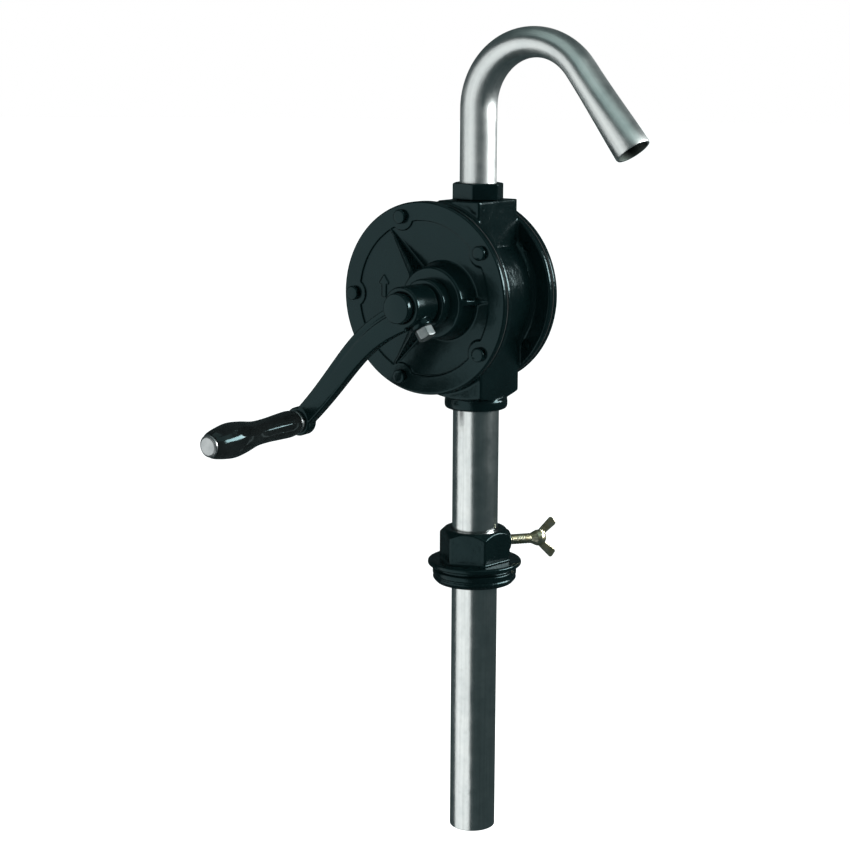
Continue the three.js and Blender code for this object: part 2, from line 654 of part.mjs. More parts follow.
function addCrank(rotor) {
  const curve = armCentre();
  const steps = 10;
  const sections = [];
  for (let i = 0; i <= steps; i += 1) {
    const t = i / steps;
    const width = THREE.MathUtils.lerp(ARM_WIDTH_AT_HUB, ARM_WIDTH_AT_GRIP, t);
    const depth = THREE.MathUtils.lerp(ARM_DEPTH_AT_HUB, ARM_DEPTH_AT_GRIP, t);
    sections.push(armSection(curve.getPoint(t), curve.getTangent(t), width, depth));
  }
  const hub = solid(turned(chamferedProfile(0, HUB_R, HUB_FRONT, HUB_BACK, 1)));
  const gripWay = (geometry) => solid(onGripAxis(geometry));
  const endBoss = gripWay(
    turned(chamferedProfile(0, END_BOSS_R, -END_BOSS_HALF, END_BOSS_HALF, 1), SMALL),
  );
  const beyond = END_BOSS_HALF + 6;
  const screwWay = (geometry) => solid(
    geometry.rotateY(rad(90 - SET_SCREW_ANGLE)).translate(0, SET_SCREW_Y, 0),
  );
  const screwPad = screwWay(rodZ(SCREW_PAD_R, SCREW_PAD_R, HUB_R + SCREW_PAD_HEIGHT, SMALL));
  const arm = cut(
    union(solid(loft(sections)), hub, endBoss, screwPad),
    solid(rodY(SHAFT_R + RUNNING_GAP, HUB_FRONT - 1, HUB_BACK + 1)),
    screwWay(rodZ(SET_SCREW_R + RUNNING_GAP, 0, 2 * HUB_R, COARSE)),
    gripWay(rodY(GRIP_PIN_R + RUNNING_GAP, -beyond, beyond, SMALL)),
    gripWay(rodY(END_BOSS_R + 3, -beyond, -END_BOSS_HALF, SMALL)),
    gripWay(rodY(END_BOSS_R + 3, END_BOSS_HALF, beyond, SMALL)),
  );
  piece(rotor, 'crank_arm', arm, paint);

  const head = HUB_R + SCREW_PAD_HEIGHT + GAP;
  const top = head + SET_SCREW_HEAD;
  const screw = union(
    solid(rodZ(SET_SCREW_R, SHAFT_R + GAP, head + 1, COARSE)),
    solid(hexPrism(SET_SCREW_FLATS, head, top, 10)).intersect(solid(turnedZ([
      [0, head], [7.6, head], [7.6, top - 1.4], [5.6, top], [0, top],
    ], SMALL))),
  );
  const screwMesh = piece(rotor, 'crank_set_screw', screw, zinc);
  screwMesh.position.y = SET_SCREW_Y;
  screwMesh.rotation.y = rad(90 - SET_SCREW_ANGLE);
}

/** Grip, pin and washer stand in a group on the arm's end, with the pin along the group's -Y axis. */
function addGrip(rotor) {
  const end = groupAt(rotor, CRANK_END.x, CRANK_END.y, CRANK_END.z);
  end.quaternion.copy(gripTurn());
  const washerFace = -END_BOSS_HALF - GAP;
  const washerFront = washerFace - GRIP_WASHER_THICKNESS;
  const gripFace = washerFront - GAP;
  const gripEnd = gripFace - GRIP_LENGTH;
  const bore = GRIP_PIN_R + RUNNING_GAP;
  const washer = chamferedProfile(bore, GRIP_WASHER_R, washerFront, washerFace, 0.3);
  piece(end, 'grip_washer', turned(washer, SMALL), zinc);
  const head = gripEnd - GAP;
  const back = END_BOSS_HALF + GAP;
  piece(end, 'grip_pin', turned([
    [0, head - 2.6], [GRIP_PIN_HEAD_R - 1.6, head - 2.6], [GRIP_PIN_HEAD_R, head - 1.4],
    [GRIP_PIN_HEAD_R, head], [GRIP_PIN_R, head],
    [GRIP_PIN_R, back], [6.4, back], [6.4, back + 1], [4.6, back + 2.2], [0, back + 2.2],
  ], SMALL), zinc);
  const swell = [
    [8.8, 0.8], [9.6, 6.4], [9.2, 17], [8.6, 30], [8.9, 42], [11.2, 54.5], [12.4, 65], [11.6, 73.5],
    [9.9, 82],
  ];
  const waist = new THREE.SplineCurve(swell.map(([r, s]) => new THREE.Vector2(r, gripFace - s)));
  const profile = [
    [bore, gripFace], [8, gripFace], ...waist.getPoints(12).map((p) => [p.x, p.y]),
    [8.6, gripEnd], [bore, gripEnd], [bore, gripFace],
  ];
  piece(end, 'grip', turned(profile, SMALL), glossBlack);
}

// ---- outlet -------------------------------------------------------------------------------------

/** The spout's centreline runs up, over and down towards +X. Gives [place, direction, bend share]. */
function spoutStations(foot) {
  const stations = [foot, SPOUT_BEND_Z - SPOUT_R].map((z) => [
    new THREE.Vector3(0, 0, z), new THREE.Vector3(0, 0, 1), 0,
  ]);
  const bends = 12;
  const bendCentre = new THREE.Vector3(SPOUT_BEND_R, 0, SPOUT_BEND_Z);
  for (let i = 0; i <= bends; i += 1) {
    const a = (SPOUT_BEND * i) / bends;
    const out = new THREE.Vector3(-Math.cos(a), 0, Math.sin(a));
    stations.push([
      bendCentre.clone().addScaledVector(out, SPOUT_BEND_R),
      new THREE.Vector3(Math.sin(a), 0, Math.cos(a)), i / bends,
    ]);
  }
  const [start, way] = stations[stations.length - 1];
  for (const share of [0.5, 1]) {
    stations.push([start.clone().addScaledVector(way, SPOUT_LEG * share), way, 1 + share]);
  }
  return stations;
}

/** Half the pipe's width in the plane of its bend, which flattens it. */
function flattened(share) {
  const marks = [[0, 0], [0.25, 1.3], [0.5, 2], [1, 3.1], [1.5, 1.7], [2, 0.3]];
  const next = marks.findIndex(([s]) => s >= share);
  if (next <= 0) return marks[0][1];
  const [[s0, v0], [s1, v1]] = [marks[next - 1], marks[next]];
  return THREE.MathUtils.mapLinear(share, s0, s1, v0, v1);
}

function pipeSection([centre, way, share], radius) {
  const side = new THREE.Vector3(0, 1, 0);
  const out = new THREE.Vector3().crossVectors(side, way);
  const inPlane = radius - flattened(share);
  const beside = radius + 0.35 * flattened(share);
  return Array.from({ length: SMALL }, (_, k) => {
    const a = (2 * Math.PI * k) / SMALL;
    return centre.clone()
      .addScaledVector(out, inPlane * Math.cos(a))
      .addScaledVector(side, beside * Math.sin(a));
  });
}

function addOutlet(parent) {
  const top = CASING_Z + PORT_BLOCK_TOP + GAP;
  const seat = CASING_Z + OUTLET_SEAT + GAP;
  const sealTop = seat + OUTLET_SEAL_HEIGHT;
  const nutTop = top + NUT_HEIGHT;
  const bore = SPOUT_R + RUNNING_GAP;
  const outside = OUTLET_BORE_R - 0.2;
  const hex = solid(hexPrism(NUT_FLATS, top, nutTop, NUT_TURN)).intersect(solid(turnedZ([
    [0, top - 1], [30, top - 1], [30, nutTop - 2.6], [NUT_FLATS / 2 - 0.3, nutTop], [0, nutTop],
  ])));
  const spigot = solid(rodZ(outside, sealTop + GAP, top + 1));
  piece(parent, 'outlet_nut', cut(union(hex, spigot), solid(rodZ(bore, seat, nutTop + 1))), paint);
  piece(parent, 'outlet_seal', turnedZ(ringProfile(bore, outside, seat, sealTop)), rubber);

  const outer = solid(loft(spoutStations(SPOUT_FOOT).map((s) => pipeSection(s, SPOUT_R))));
  const stations = spoutStations(SPOUT_FOOT - 2);
  const [mouth, way] = stations[stations.length - 1];
  mouth.addScaledVector(way, 2);
  const inner = solid(loft(stations.map((s) => pipeSection(s, SPOUT_R - SPOUT_WALL))));
  piece(parent, 'spout', cut(outer, inner), galvanised);
}

// ---- assembly -----------------------------------------------------------------------------------

const pump = new THREE.Group();
addBung(pump);
addWingScrew(pump);
addSuctionTubes(pump);
const casing = groupAt(pump, CASING_X, 0, CASING_Z);
addCasting(casing);
addFrontCover(casing);
addRearCover(casing);
addGaskets(casing);
addCoverBolts(casing);
addShaftSeals(casing);
const rotor = groupAt(casing, SHAFT_OFFSET, 0, 0);
addRotor(rotor);
addVanes(rotor);
addCrank(rotor);
addGrip(rotor);
addOutlet(pump);

export default pump;
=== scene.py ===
"""A hand-cranked drum pump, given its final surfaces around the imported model.

Shapes are worked out in millimetres in the row frame, and become metres when a mesh is made.
"""

import json
import math

import bmesh
import bpy
from mathutils import Matrix, Vector


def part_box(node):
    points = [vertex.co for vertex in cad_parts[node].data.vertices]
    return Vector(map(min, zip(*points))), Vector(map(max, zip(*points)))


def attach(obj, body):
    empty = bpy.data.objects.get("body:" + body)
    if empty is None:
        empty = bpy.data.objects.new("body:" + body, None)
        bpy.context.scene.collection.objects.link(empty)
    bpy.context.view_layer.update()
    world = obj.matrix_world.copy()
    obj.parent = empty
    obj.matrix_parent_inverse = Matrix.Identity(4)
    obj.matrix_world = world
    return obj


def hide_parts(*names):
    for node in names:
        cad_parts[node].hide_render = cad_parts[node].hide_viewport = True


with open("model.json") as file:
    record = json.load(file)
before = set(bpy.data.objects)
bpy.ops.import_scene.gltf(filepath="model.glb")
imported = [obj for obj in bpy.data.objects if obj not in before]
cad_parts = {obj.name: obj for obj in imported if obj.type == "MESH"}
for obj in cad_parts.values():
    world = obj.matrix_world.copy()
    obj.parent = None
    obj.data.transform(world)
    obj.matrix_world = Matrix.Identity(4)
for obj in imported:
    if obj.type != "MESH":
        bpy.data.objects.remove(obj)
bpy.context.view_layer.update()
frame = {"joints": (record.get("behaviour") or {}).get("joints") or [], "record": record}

MM = 0.001
RECORD = frame["record"]
JOINTS = {joint["name"]: joint for joint in frame["joints"]}
BODY_OF = {node: body for body, nodes in RECORD["behaviour"]["bodies"].items() for node in nodes}


def corners(node):
    """The lowest and highest corner of a CAD node, in millimetres."""
    low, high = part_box(node)
    return low / MM, high / MM


def joint_line(name):
    """A joint's place, in millimetres, and its direction."""
    joint = JOINTS[name]
    return Vector(joint["pos_m"]) / MM, Vector(joint["axis"]).normalized()


# ---- sizes taken from the frame -----------------------------------------------------------------

TUBE_LOW, TUBE_HIGH = corners("suction_tube")
TUBE_R = TUBE_HIGH.x
BUNG_LOW, BUNG_HIGH = corners("bung_adapter")
CLAMP_AT, CLAMP_AXIS = joint_line("clamp_screw_turn")
COVER_LOW, COVER_HIGH = corners("rear_cover")
CASING_X = (COVER_LOW.x + COVER_HIGH.x) / 2
CASING_Z = (COVER_LOW.z + COVER_HIGH.z) / 2
FLANGE_R = (COVER_HIGH.x - COVER_LOW.x) / 2
CHAMBER_HALF = COVER_LOW.y
REAR_BOSS_FACE = COVER_HIGH.y
FRONT_BOSS_FACE = -corners("front_cover")[0].y
BODY_LOW, BODY_HIGH = corners("pump_body")
BODY_HALF = BODY_HIGH.y
SHAFT_AT = joint_line("crank_turn")[0]
GRIP_AT, GRIP_AXIS = joint_line("grip_spin")
TUBE_DROP = (JOINTS["inner_tube_slide"]["range_m"][1] - JOINTS["height_slide"]["range_m"][0]) / MM
BOLT_COUNT = 5
BOLT_NAMES = [f"{row}_bolt_{k + 1}" for row in ("front", "rear") for k in range(BOLT_COUNT)]

# ---- driving dimensions -------------------------------------------------------------------------

FLOOR_GAP = 1
TUBE_WALL = 2.5
INNER_TUBE_WALL = 1.6
STEM_BORE_R = TUBE_R + 0.25
SEAL_GROOVE_R = 19.8
SEAL_GROOVE = (-3, 4)
BUNG_HEX_FLATS = 46.6
BUNG_THREAD_R = 31
BUNG_GROOVE_Z = -7.4
BUNG_COLLAR_TOP = 4
BUNG_CHAMFER_RUN = 9
CLAMP_PAD_R = 8
CLAMP_PAD_REACH = 26.5
CLAMP_SHANK_R = 3.95
CLAMP_SHANK_END = 44
CLAMP_PITCH = 1.25
WING_THICKNESS = 2.3

BORE_R = 49.5
BARREL_R = 55
FLANGE_THICKNESS = 5.2
COVER_THICKNESS = 5
COVER_FACE = CHAMBER_HALF + COVER_THICKNESS
RECESS_R = 56
RECESS_DEPTH = 1.6
SCALLOP_R = 9.8
BOSS_BASE_R = 28.4
BOSS_TOP_R = 25.3
RIB_ANGLES = (3, 134, -131)
ARROW_X = -34.5
BOLT_R = 3
BOLT_HEAD_R = 5.2
UPPER_BLOCK_HALF = 18
LOWER_BLOCK_HALF = 21
LOWER_TAPER_R = 36
PORT_TOP = BODY_HIGH.z - CASING_Z
PORT_BOTTOM = -69.5
INLET_COLLAR_R = 23
INLET_COLLAR_TOP = -73
INLET_COLLAR_BOTTOM = BODY_LOW.z - CASING_Z
INLET_BORE_R = 17.15
OUTLET_BORE_R = 15.8
OUTLET_SEAT = 53
PASSAGE_R = 12.5

SHAFT_R = 10.7
REAR_JOURNAL_R = 8
HUB_POCKET_R = 22.3
HUB_POCKET_DEPTH = 5.4
BUSH_R = 14
PACKING_R = 16
PACKING_DEPTH = 8
GLAND_R = 17.6
ROTOR_R = 31.85
ROTOR_HALF = CHAMBER_HALF - 0.3
ROTOR_FLANGE_R = 22
ROTOR_FLANGE_THICKNESS = 5
VANE_SLOT_HALF = 4

HUB_R = 14.6
HUB_FRONT = 87.1
HUB_BACK = 61.5
ARM_WIDTHS = (20.5, 14.5)
ARM_DEPTHS = (8.6, 10)
ARM_Y_AT_HUB = -82.6
ARM_ROOT_DROP = 6.5
ARM_LEAVE = (-42.5, -24.5)
ARM_ARRIVE = (-45, -50)
END_BOSS_R = 10.5
END_BOSS_HALF = 5
SET_SCREW_ANGLE = math.radians(-55)
SET_SCREW_Y = -75
SET_SCREW_FLATS = 11.6
SET_SCREW_HEAD = 7.5
SET_SCREW_R = 3.9
SCREW_PAD_R = 7.6
SCREW_PAD_TOP = HUB_R + 3.4
GRIP_PIN_R = 4
GRIP_PIN_HEAD_R = 7.8
GRIP_WASHER_R = 8.3
GRIP_WASHER_THICKNESS = 3
GRIP_LENGTH = 85.5
PLAY = 0.12
GAP = 0.3

SPOUT_R = 13.3
SPOUT_WALL = 2.3
SPOUT_FOOT = 254
SPOUT_BEND_Z = 334
SPOUT_BEND_R = 46.5
SPOUT_BEND = math.radians(142.5)
SPOUT_LEG = 69.5
SPOUT_SQUEEZE = 3.1
SPOUT_SQUEEZE_AT_MOUTH = 0.3
SPOUT_RIM = 0.45
SPOUT_TURNS = 96
SPOUT_BEND_STEPS = 64
NUT_FLATS = 33.4
NUT_TURN = math.radians(-8.9)

# ---- the photograph's camera --------------------------------------------------------------------

CAMERA_AZIMUTH = math.radians(33.362)
CAMERA_ELEVATION = math.radians(9.148)
CAMERA_ROLL = math.radians(0.547)
CAMERA_DISTANCE = 1358.09
CAMERA_TARGET = Vector((0, 0, 147))
CAMERA_LENS = 79.05
CAMERA_SHIFT = (-0.0604, -0.0678)


# ---- mesh making --------------------------------------------------------------------------------

def upright(x=0, y=0, z=0):
    """Local axes parallel to the row frame's, at that place."""
    return Matrix.Translation((x, y, z))


def facing(side, x, z):
    """Local XY stands upright at (x, z), with local Z pointing to -Y for side -1 and to +Y for +1."""
    return Matrix(((-side, 0, 0, x), (0, 0, side, 0), (0, 1, 0, z), (0, 0, 0, 1)))


def along(axis, at):
    """Local Z points along `axis` from `at`."""
    return Matrix.Translation(at) @ axis.to_track_quat("Z", "Y").to_matrix().to_4x4()


def link(name, bm):
    """A new object from a bmesh."""
    bmesh.ops.recalc_face_normals(bm, faces=bm.faces)
    mesh = bpy.data.meshes.new(name)
    bm.to_mesh(mesh)
    bm.free()
    obj = bpy.data.objects.new(name, mesh)
    bpy.context.scene.collection.objects.link(obj)
    return obj


def skin(name, rings, place, loop=False, straight=None):
    """A closed skin over rings of points. With `loop` the last ring joins the first, and otherwise
    the ends are closed flat. Each point keeps, as "local", its place before `place`, or the place
    that `straight` gives it."""
    bm = bmesh.new()
    layer = bm.verts.layers.float_vector.new("local")
    rows = []
    for points, flat in zip(rings, straight or rings):
        row = []
        for point, unbent in zip(points, flat):
            vert = bm.verts.new((place @ point) * MM)
            vert[layer] = unbent * MM
            row.append(vert)
        rows.append(row)
    following = rows[1:] + rows[:1] if loop else rows[1:]
    count = len(rows[0])
    for low, high in zip(rows, following):
        for k in range(count):
            n = (k + 1) % count
            bm.faces.new((low[k], low[n], high[n], high[k]))
    if not loop:
        bm.faces.new(rows[0])
        bm.faces.new(rows[-1])
    bmesh.ops.remove_doubles(bm, verts=bm.verts, dist=1e-7)
    return link(name, bm)


def lathe(name, outline, place, turns=96):
    """Turns (radius, height) points about local Z. An outline that starts and ends on the axis is
    closed by it, and any other is closed on itself."""
    solid = outline[0][0] == 0 and outline[-1][0] == 0
    rings = []
    for radius, height in outline:
        rings.append([
            Vector((radius * math.cos(a), radius * math.sin(a), height))
            for a in (math.tau * k / turns for k in range(turns))
        ])
    if not solid:
        return skin(name, rings, place, loop=True)
    bm = bmesh.new()
    layer = bm.verts.layers.float_vector.new("local")
    rows = []
    for (radius, height), ring in zip(outline, rings):
        points = ring if radius else [Vector((0, 0, height))]
        row = []
        for point in points:
            vert = bm.verts.new((place @ point) * MM)
            vert[layer] = point * MM
            row.append(vert)
        rows.append(row)
    for low, high in zip(rows, rows[1:]):
        for k in range(turns):
            n = (k + 1) % turns
            quad = [low[k % len(low)], low[n % len(low)], high[n % len(high)], high[k % len(high)]]
            bm.faces.new(list(dict.fromkeys(quad)))
    return link(name, bm)


def rounded(outline, closed=False, steps=4):
    """Replaces each (x, y, radius) corner of an outline by an arc of that radius."""
    points = []
    count = len(outline)
    for i, (x, y, radius) in enumerate(outline):
        here = Vector((x, y))
        if radius == 0 or (not closed and i in (0, count - 1)):
            points.append((x, y))
            continue
        before = Vector(outline[i - 1][:2]) - here
        after = Vector(outline[(i + 1) % count][:2]) - here
        half = before.angle(after) / 2
        reach = min(radius / math.tan(half), 0.48 * before.length, 0.48 * after.length)
        start = before.normalized() * reach
        end = after.normalized() * reach
        centre = (start + end) / 2 * (1 / math.cos(half) ** 2)
        first = math.atan2(*(start - centre).yx)
        last = math.atan2(*(end - centre).yx)
        turn = (last - first + math.pi) % math.tau - math.pi
        size = (start - centre).length
        for k in range(steps + 1):
            angle = first + turn * k / steps
            points.append((
                here.x + centre.x + size * math.cos(angle),
                here.y + centre.y + size * math.sin(angle),
            ))
    return points


def ring(inner, outer, low, high, edge=0.0):
    """The outline of a ring, with its outer and inner edges rounded."""
    return rounded([
        (inner, low, edge / 2), (outer, low, edge), (outer, high, edge), (inner, high, edge / 2),
    ], closed=True)


def rod(radius, low, high, edge=0.0):
    """The outline of a plain rod, with its edges rounded."""
    return rounded([(0, low, 0), (radius, low, edge), (radius, high, edge), (0, high, 0)])


def prism(name, outline, low, high, place):
    """An outline in local XY, pulled out from one height to another."""
    rings = [[Vector((x, y, h)) for x, y in outline] for h in (low, high)]
    return skin(name, rings, place)


def hexagon(flats, turn, edge):
    """A hexagon across its flats, with a corner pointing along `turn` and its corners rounded."""
    radius = flats / math.sqrt(3)
    angles = [turn + k * math.pi / 3 for k in range(6)]
    return rounded([(radius * math.cos(a), radius * math.sin(a), edge) for a in angles], closed=True)


def bake(obj):
    """Applies the object's modifiers."""
    depsgraph = bpy.context.evaluated_depsgraph_get()
    mesh = bpy.data.meshes.new_from_object(
        obj.evaluated_get(depsgraph), preserve_all_data_layers=True, depsgraph=depsgraph,
    )
    obj.modifiers.clear()
    obj.data = mesh
    return obj


def combine(base, operation, tools):
    """Joins, cuts or meets `base` with each tool, which is then gone."""
    for tool in tools:
        modifier = base.modifiers.new("combine", "BOOLEAN")
        modifier.operation = operation
        modifier.solver = "MANIFOLD"
        modifier.object = tool
        bake(base)
        bpy.data.objects.remove(tool, do_unlink=True)
    return base


def cast(obj, grain, rounds, keep):
    """Softens sharp-edged work into a casting: an even skin of `grain`, relaxed, then thinned."""
    skinning = obj.modifiers.new("even skin", "REMESH")
    skinning.mode = "VOXEL"
    skinning.voxel_size = grain * MM
    relax = obj.modifiers.new("relax", "SMOOTH")
    relax.factor = 0.5
    relax.iterations = rounds
    thin = obj.modifiers.new("thin", "DECIMATE")
    thin.ratio = keep
    return bake(obj)


def shade(obj, sharp_angle=math.radians(38)):
    """Smooth shading, broken at edges sharper than the angle."""
    bm = bmesh.new()
    bm.from_mesh(obj.data)
    for face in bm.faces:
        face.smooth = True
    for edge in bm.edges:
        edge.smooth = len(edge.link_faces) != 2 or edge.calc_face_angle() < sharp_angle
    bm.to_mesh(obj.data)
    bm.free()


def fit(obj, node, material):
    """The piece stands for that CAD node, which it hides: it rides on its body and takes the given
    material.
    """
    obj.name = f"{node}_surface"
    obj.data.name = obj.name
    obj.data.materials.clear()
    obj.data.materials.append(material)
    shade(obj)
    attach(obj, BODY_OF[node])
    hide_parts(node)
    return obj


# ---- materials ----------------------------------------------------------------------------------

COOL_TINT = (0.56, 0.95, 1, 1)


class Look:
    """A node material built up from its Principled shader."""

    def __init__(self, name, **sockets):
        self.material = bpy.data.materials.new(name)
        self.material.use_nodes = True
        self.nodes = self.material.node_tree.nodes
        self.links = self.material.node_tree.links
        self.shader = self.nodes["Principled BSDF"]
        for socket, value in sockets.items():
            self.shader.inputs[socket.replace("_", " ")].default_value = value

    def place(self, stretch=(1, 1, 1), local=False):
        """A point on the piece, stretched: local follows a turned or bent piece's own shape."""
        if local:
            source = self.nodes.new("ShaderNodeAttribute")
            source.attribute_name = "local"
            point = source.outputs["Vector"]
        else:
            point = self.nodes.new("ShaderNodeTexCoord").outputs["Object"]
        mapping = self.nodes.new("ShaderNodeMapping")
        mapping.inputs["Scale"].default_value = stretch
        self.links.new(point, mapping.inputs["Vector"])
        return mapping.outputs["Vector"]

    def noise(self, point, per_metre, detail=3.0, roughness=0.55):
        texture = self.nodes.new("ShaderNodeTexNoise")
        texture.inputs["Scale"].default_value = per_metre
        texture.inputs["Detail"].default_value = detail
        texture.inputs["Roughness"].default_value = roughness
        self.links.new(point, texture.inputs["Vector"])
        return texture.outputs["Fac"]

    def cells(self, point, per_metre, feature="F1"):
        texture = self.nodes.new("ShaderNodeTexVoronoi")
        texture.feature = feature
        texture.inputs["Scale"].default_value = per_metre
        self.links.new(point, texture.inputs["Vector"])
        return texture.outputs["Distance"]

    def ramp(self, value, stops):
        """Maps a value to colours or greys at the given places."""
        ramp = self.nodes.new("ShaderNodeValToRGB")
        elements = ramp.color_ramp.elements
        while len(elements) < len(stops):
            elements.new(0.5)
        for element, (place, colour) in zip(elements, stops):
            element.position = place
            element.color = (*colour, 1) if isinstance(colour, tuple) else (colour, colour, colour, 1)
        self.links.new(value, ramp.inputs["Fac"])
        return ramp.outputs["Color"]

    def mix(self, blend, factor, first, second):
        mix = self.nodes.new("ShaderNodeMix")
        mix.data_type = "RGBA"
        mix.blend_type = blend
        mix.inputs["Factor"].default_value = factor
        self.links.new(first, mix.inputs["A"])
        self.links.new(second, mix.inputs["B"])
        return mix.outputs["Result"]

    def colour(self, output):
        self.links.new(output, self.shader.inputs["Base Color"])

    def roughness(self, value, low, high):
        """Roughness between two values as `value` goes from 0 to 1."""
        spread = self.nodes.new("ShaderNodeMapRange")
        spread.inputs["To Min"].default_value = low
        spread.inputs["To Max"].default_value = high
        self.links.new(value, spread.inputs["Value"])
        self.links.new(spread.outputs["Result"], self.shader.inputs["Roughness"])

    def bumps(self, layers):
        """Relief from (height output, depth in millimetres) layers, each laid on the one before."""
        normal = None
        for height, depth in layers:
            bump = self.nodes.new("ShaderNodeBump")
            bump.inputs["Strength"].default_value = 1.0
            bump.inputs["Distance"].default_value = depth * MM
            self.links.new(height, bump.inputs["Height"])
            if normal:
                self.links.new(normal, bump.inputs["Normal"])
            normal = bump.outputs["Normal"]
        self.links.new(normal, self.shader.inputs["Normal"])
        return self.material


def casting_paint(name, grit):
    """Green-black enamel over a casting, whose sand marks show through by `grit` millimetres."""
    look = Look(name, IOR=1.38, Specular_Tint=COOL_TINT)
    point = look.place()
    sand = look.noise(point, 420, detail=4)
    waves = look.noise(point, 60, detail=2)
    pits = look.ramp(look.cells(point, 260), [(0.0, 0.0), (0.22, 1.0)])
    look.colour(look.ramp(look.noise(point, 35), [
        (0.3, (0.0008, 0.0030, 0.0032)), (0.7, (0.0014, 0.0046, 0.0048)),
    ]))
    look.roughness(look.noise(point, 150), 0.12, 0.24)
    return look.bumps([(waves, 4 * grit), (sand, grit), (pits, 0.6 * grit)])


def galvanised_pipe(name, smooth, rough):
    """Zinc-coated pipe with drawing marks along it and a faint cloudy spangle."""
    look = Look(name, Metallic=1.0, Anisotropic=0.35)
    draw = look.place((1, 1, 0.03), local=True)
    point = look.place(local=True)
    marks = look.noise(draw, 1900, detail=5, roughness=0.65)
    streaks = look.noise(draw, 420, detail=3)
    clouds = look.noise(point, 75, detail=4)
    spangle = look.cells(point, 210)
    base = look.ramp(clouds, [(0.3, (0.74, 0.79, 0.78)), (0.72, (0.88, 0.92, 0.90))])
    lined = look.mix("MULTIPLY", 0.35, base, look.ramp(streaks, [(0.35, 0.72), (0.6, 1.0)]))
    crystals = look.mix("MULTIPLY", 0.2, lined, look.ramp(spangle, [(0.0, 0.75), (0.5, 1.0)]))
    look.colour(crystals)
    look.roughness(clouds, smooth, rough)
    return look.bumps([(marks, 0.02), (clouds, 0.1), (spangle, 0.03)])


def plated(name, tones, rough):
    """Plated steel, its colour drifting between the given tones."""
    look = Look(name, Metallic=1.0)
    point = look.place()
    drift = look.noise(point, 160, detail=3)
    count = len(tones) - 1
    look.colour(look.ramp(drift, [(0.32 + 0.36 * i / count, tone) for i, tone in enumerate(tones)]))
    look.roughness(look.noise(point, 700), rough - 0.07, rough + 0.1)
    return look.bumps([(look.noise(point, 900, detail=4), 0.03), (drift, 0.05)])


def turned_metal(name, dark, light, rough):
    """Machined metal with fine marks round its axis."""
    look = Look(name, Metallic=1.0)
    point = look.place(local=True)
    lines = look.noise(look.place((0.04, 0.04, 1), local=True), 3200, detail=3)
    look.colour(look.ramp(look.noise(point, 120, detail=4), [(0.3, dark), (0.7, light)]))
    look.roughness(lines, rough - 0.08, rough + 0.12)
    return look.bumps([(lines, 0.015), (look.noise(point, 500), 0.02)])


def gloss_moulding(name):
    """Deep gloss black moulding with a slight orange peel."""
    look = Look(name, IOR=1.42, Specular_Tint=COOL_TINT)
    point = look.place()
    look.colour(look.ramp(look.noise(point, 90), [
        (0.3, (0.0035, 0.0045, 0.0045)), (0.7, (0.0065, 0.008, 0.008)),
    ]))
    look.roughness(look.noise(point, 300), 0.06, 0.14)
    return look.bumps([(look.noise(point, 110, detail=2), 0.12), (look.noise(point, 900), 0.006)])


def dull(name, dark, light, rough, grain, depth):
    """Matt material with a grain of so many bumps a metre."""
    look = Look(name, IOR=1.45)
    point = look.place()
    texture = look.noise(point, grain, detail=5, roughness=0.65)
    look.colour(look.ramp(look.noise(point, grain / 6, detail=4), [(0.3, dark), (0.7, light)]))
    look.roughness(texture, rough - 0.1, rough + 0.08)
    return look.bumps([(texture, depth)])


PAINT = casting_paint("casting_paint", 0.05)
ROUGH_PAINT = casting_paint("rough_casting_paint", 0.15)
PIPE = galvanised_pipe("galvanised_pipe", 0.16, 0.27)
SPOUT_PIPE = galvanised_pipe("bent_galvanised_pipe", 0.3, 0.46)
PIPE_BORE = turned_metal("unplated_pipe_bore", (0.055, 0.07, 0.062), (0.10, 0.12, 0.11), 0.62)
BRIGHT_ZINC = plated("bright_zinc", [(0.42, 0.455, 0.46), (0.56, 0.59, 0.59)], 0.32)
GREY_ZINC = plated("grey_zinc", [(0.22, 0.26, 0.265), (0.36, 0.40, 0.40)], 0.42)
YELLOW_ZINC = plated("yellow_zinc", [
    (0.42, 0.41, 0.29), (0.74, 0.68, 0.43), (0.70, 0.72, 0.55), (0.78, 0.68, 0.54),
], 0.3)
IRON = turned_metal("turned_iron", (0.13, 0.135, 0.14), (0.22, 0.225, 0.23), 0.45)
STEEL = turned_metal("ground_steel", (0.30, 0.31, 0.31), (0.42, 0.43, 0.43), 0.3)
BRONZE = turned_metal("bearing_bronze", (0.42, 0.25, 0.09), (0.58, 0.37, 0.15), 0.35)
MOULDING = gloss_moulding("gloss_black_grip")
RUBBER = dull("black_rubber", (0.008, 0.008, 0.008), (0.016, 0.016, 0.016), 0.7, 1600, 0.03)
FIBRE = dull("pressed_fibre", (0.009, 0.011, 0.011), (0.016, 0.018, 0.018), 0.85, 2600, 0.06)
ACETAL = dull("acetal", (0.60, 0.58, 0.49), (0.70, 0.68, 0.60), 0.45, 900, 0.01)


# ---- bung adapter and its wing screw ------------------------------------------------------------

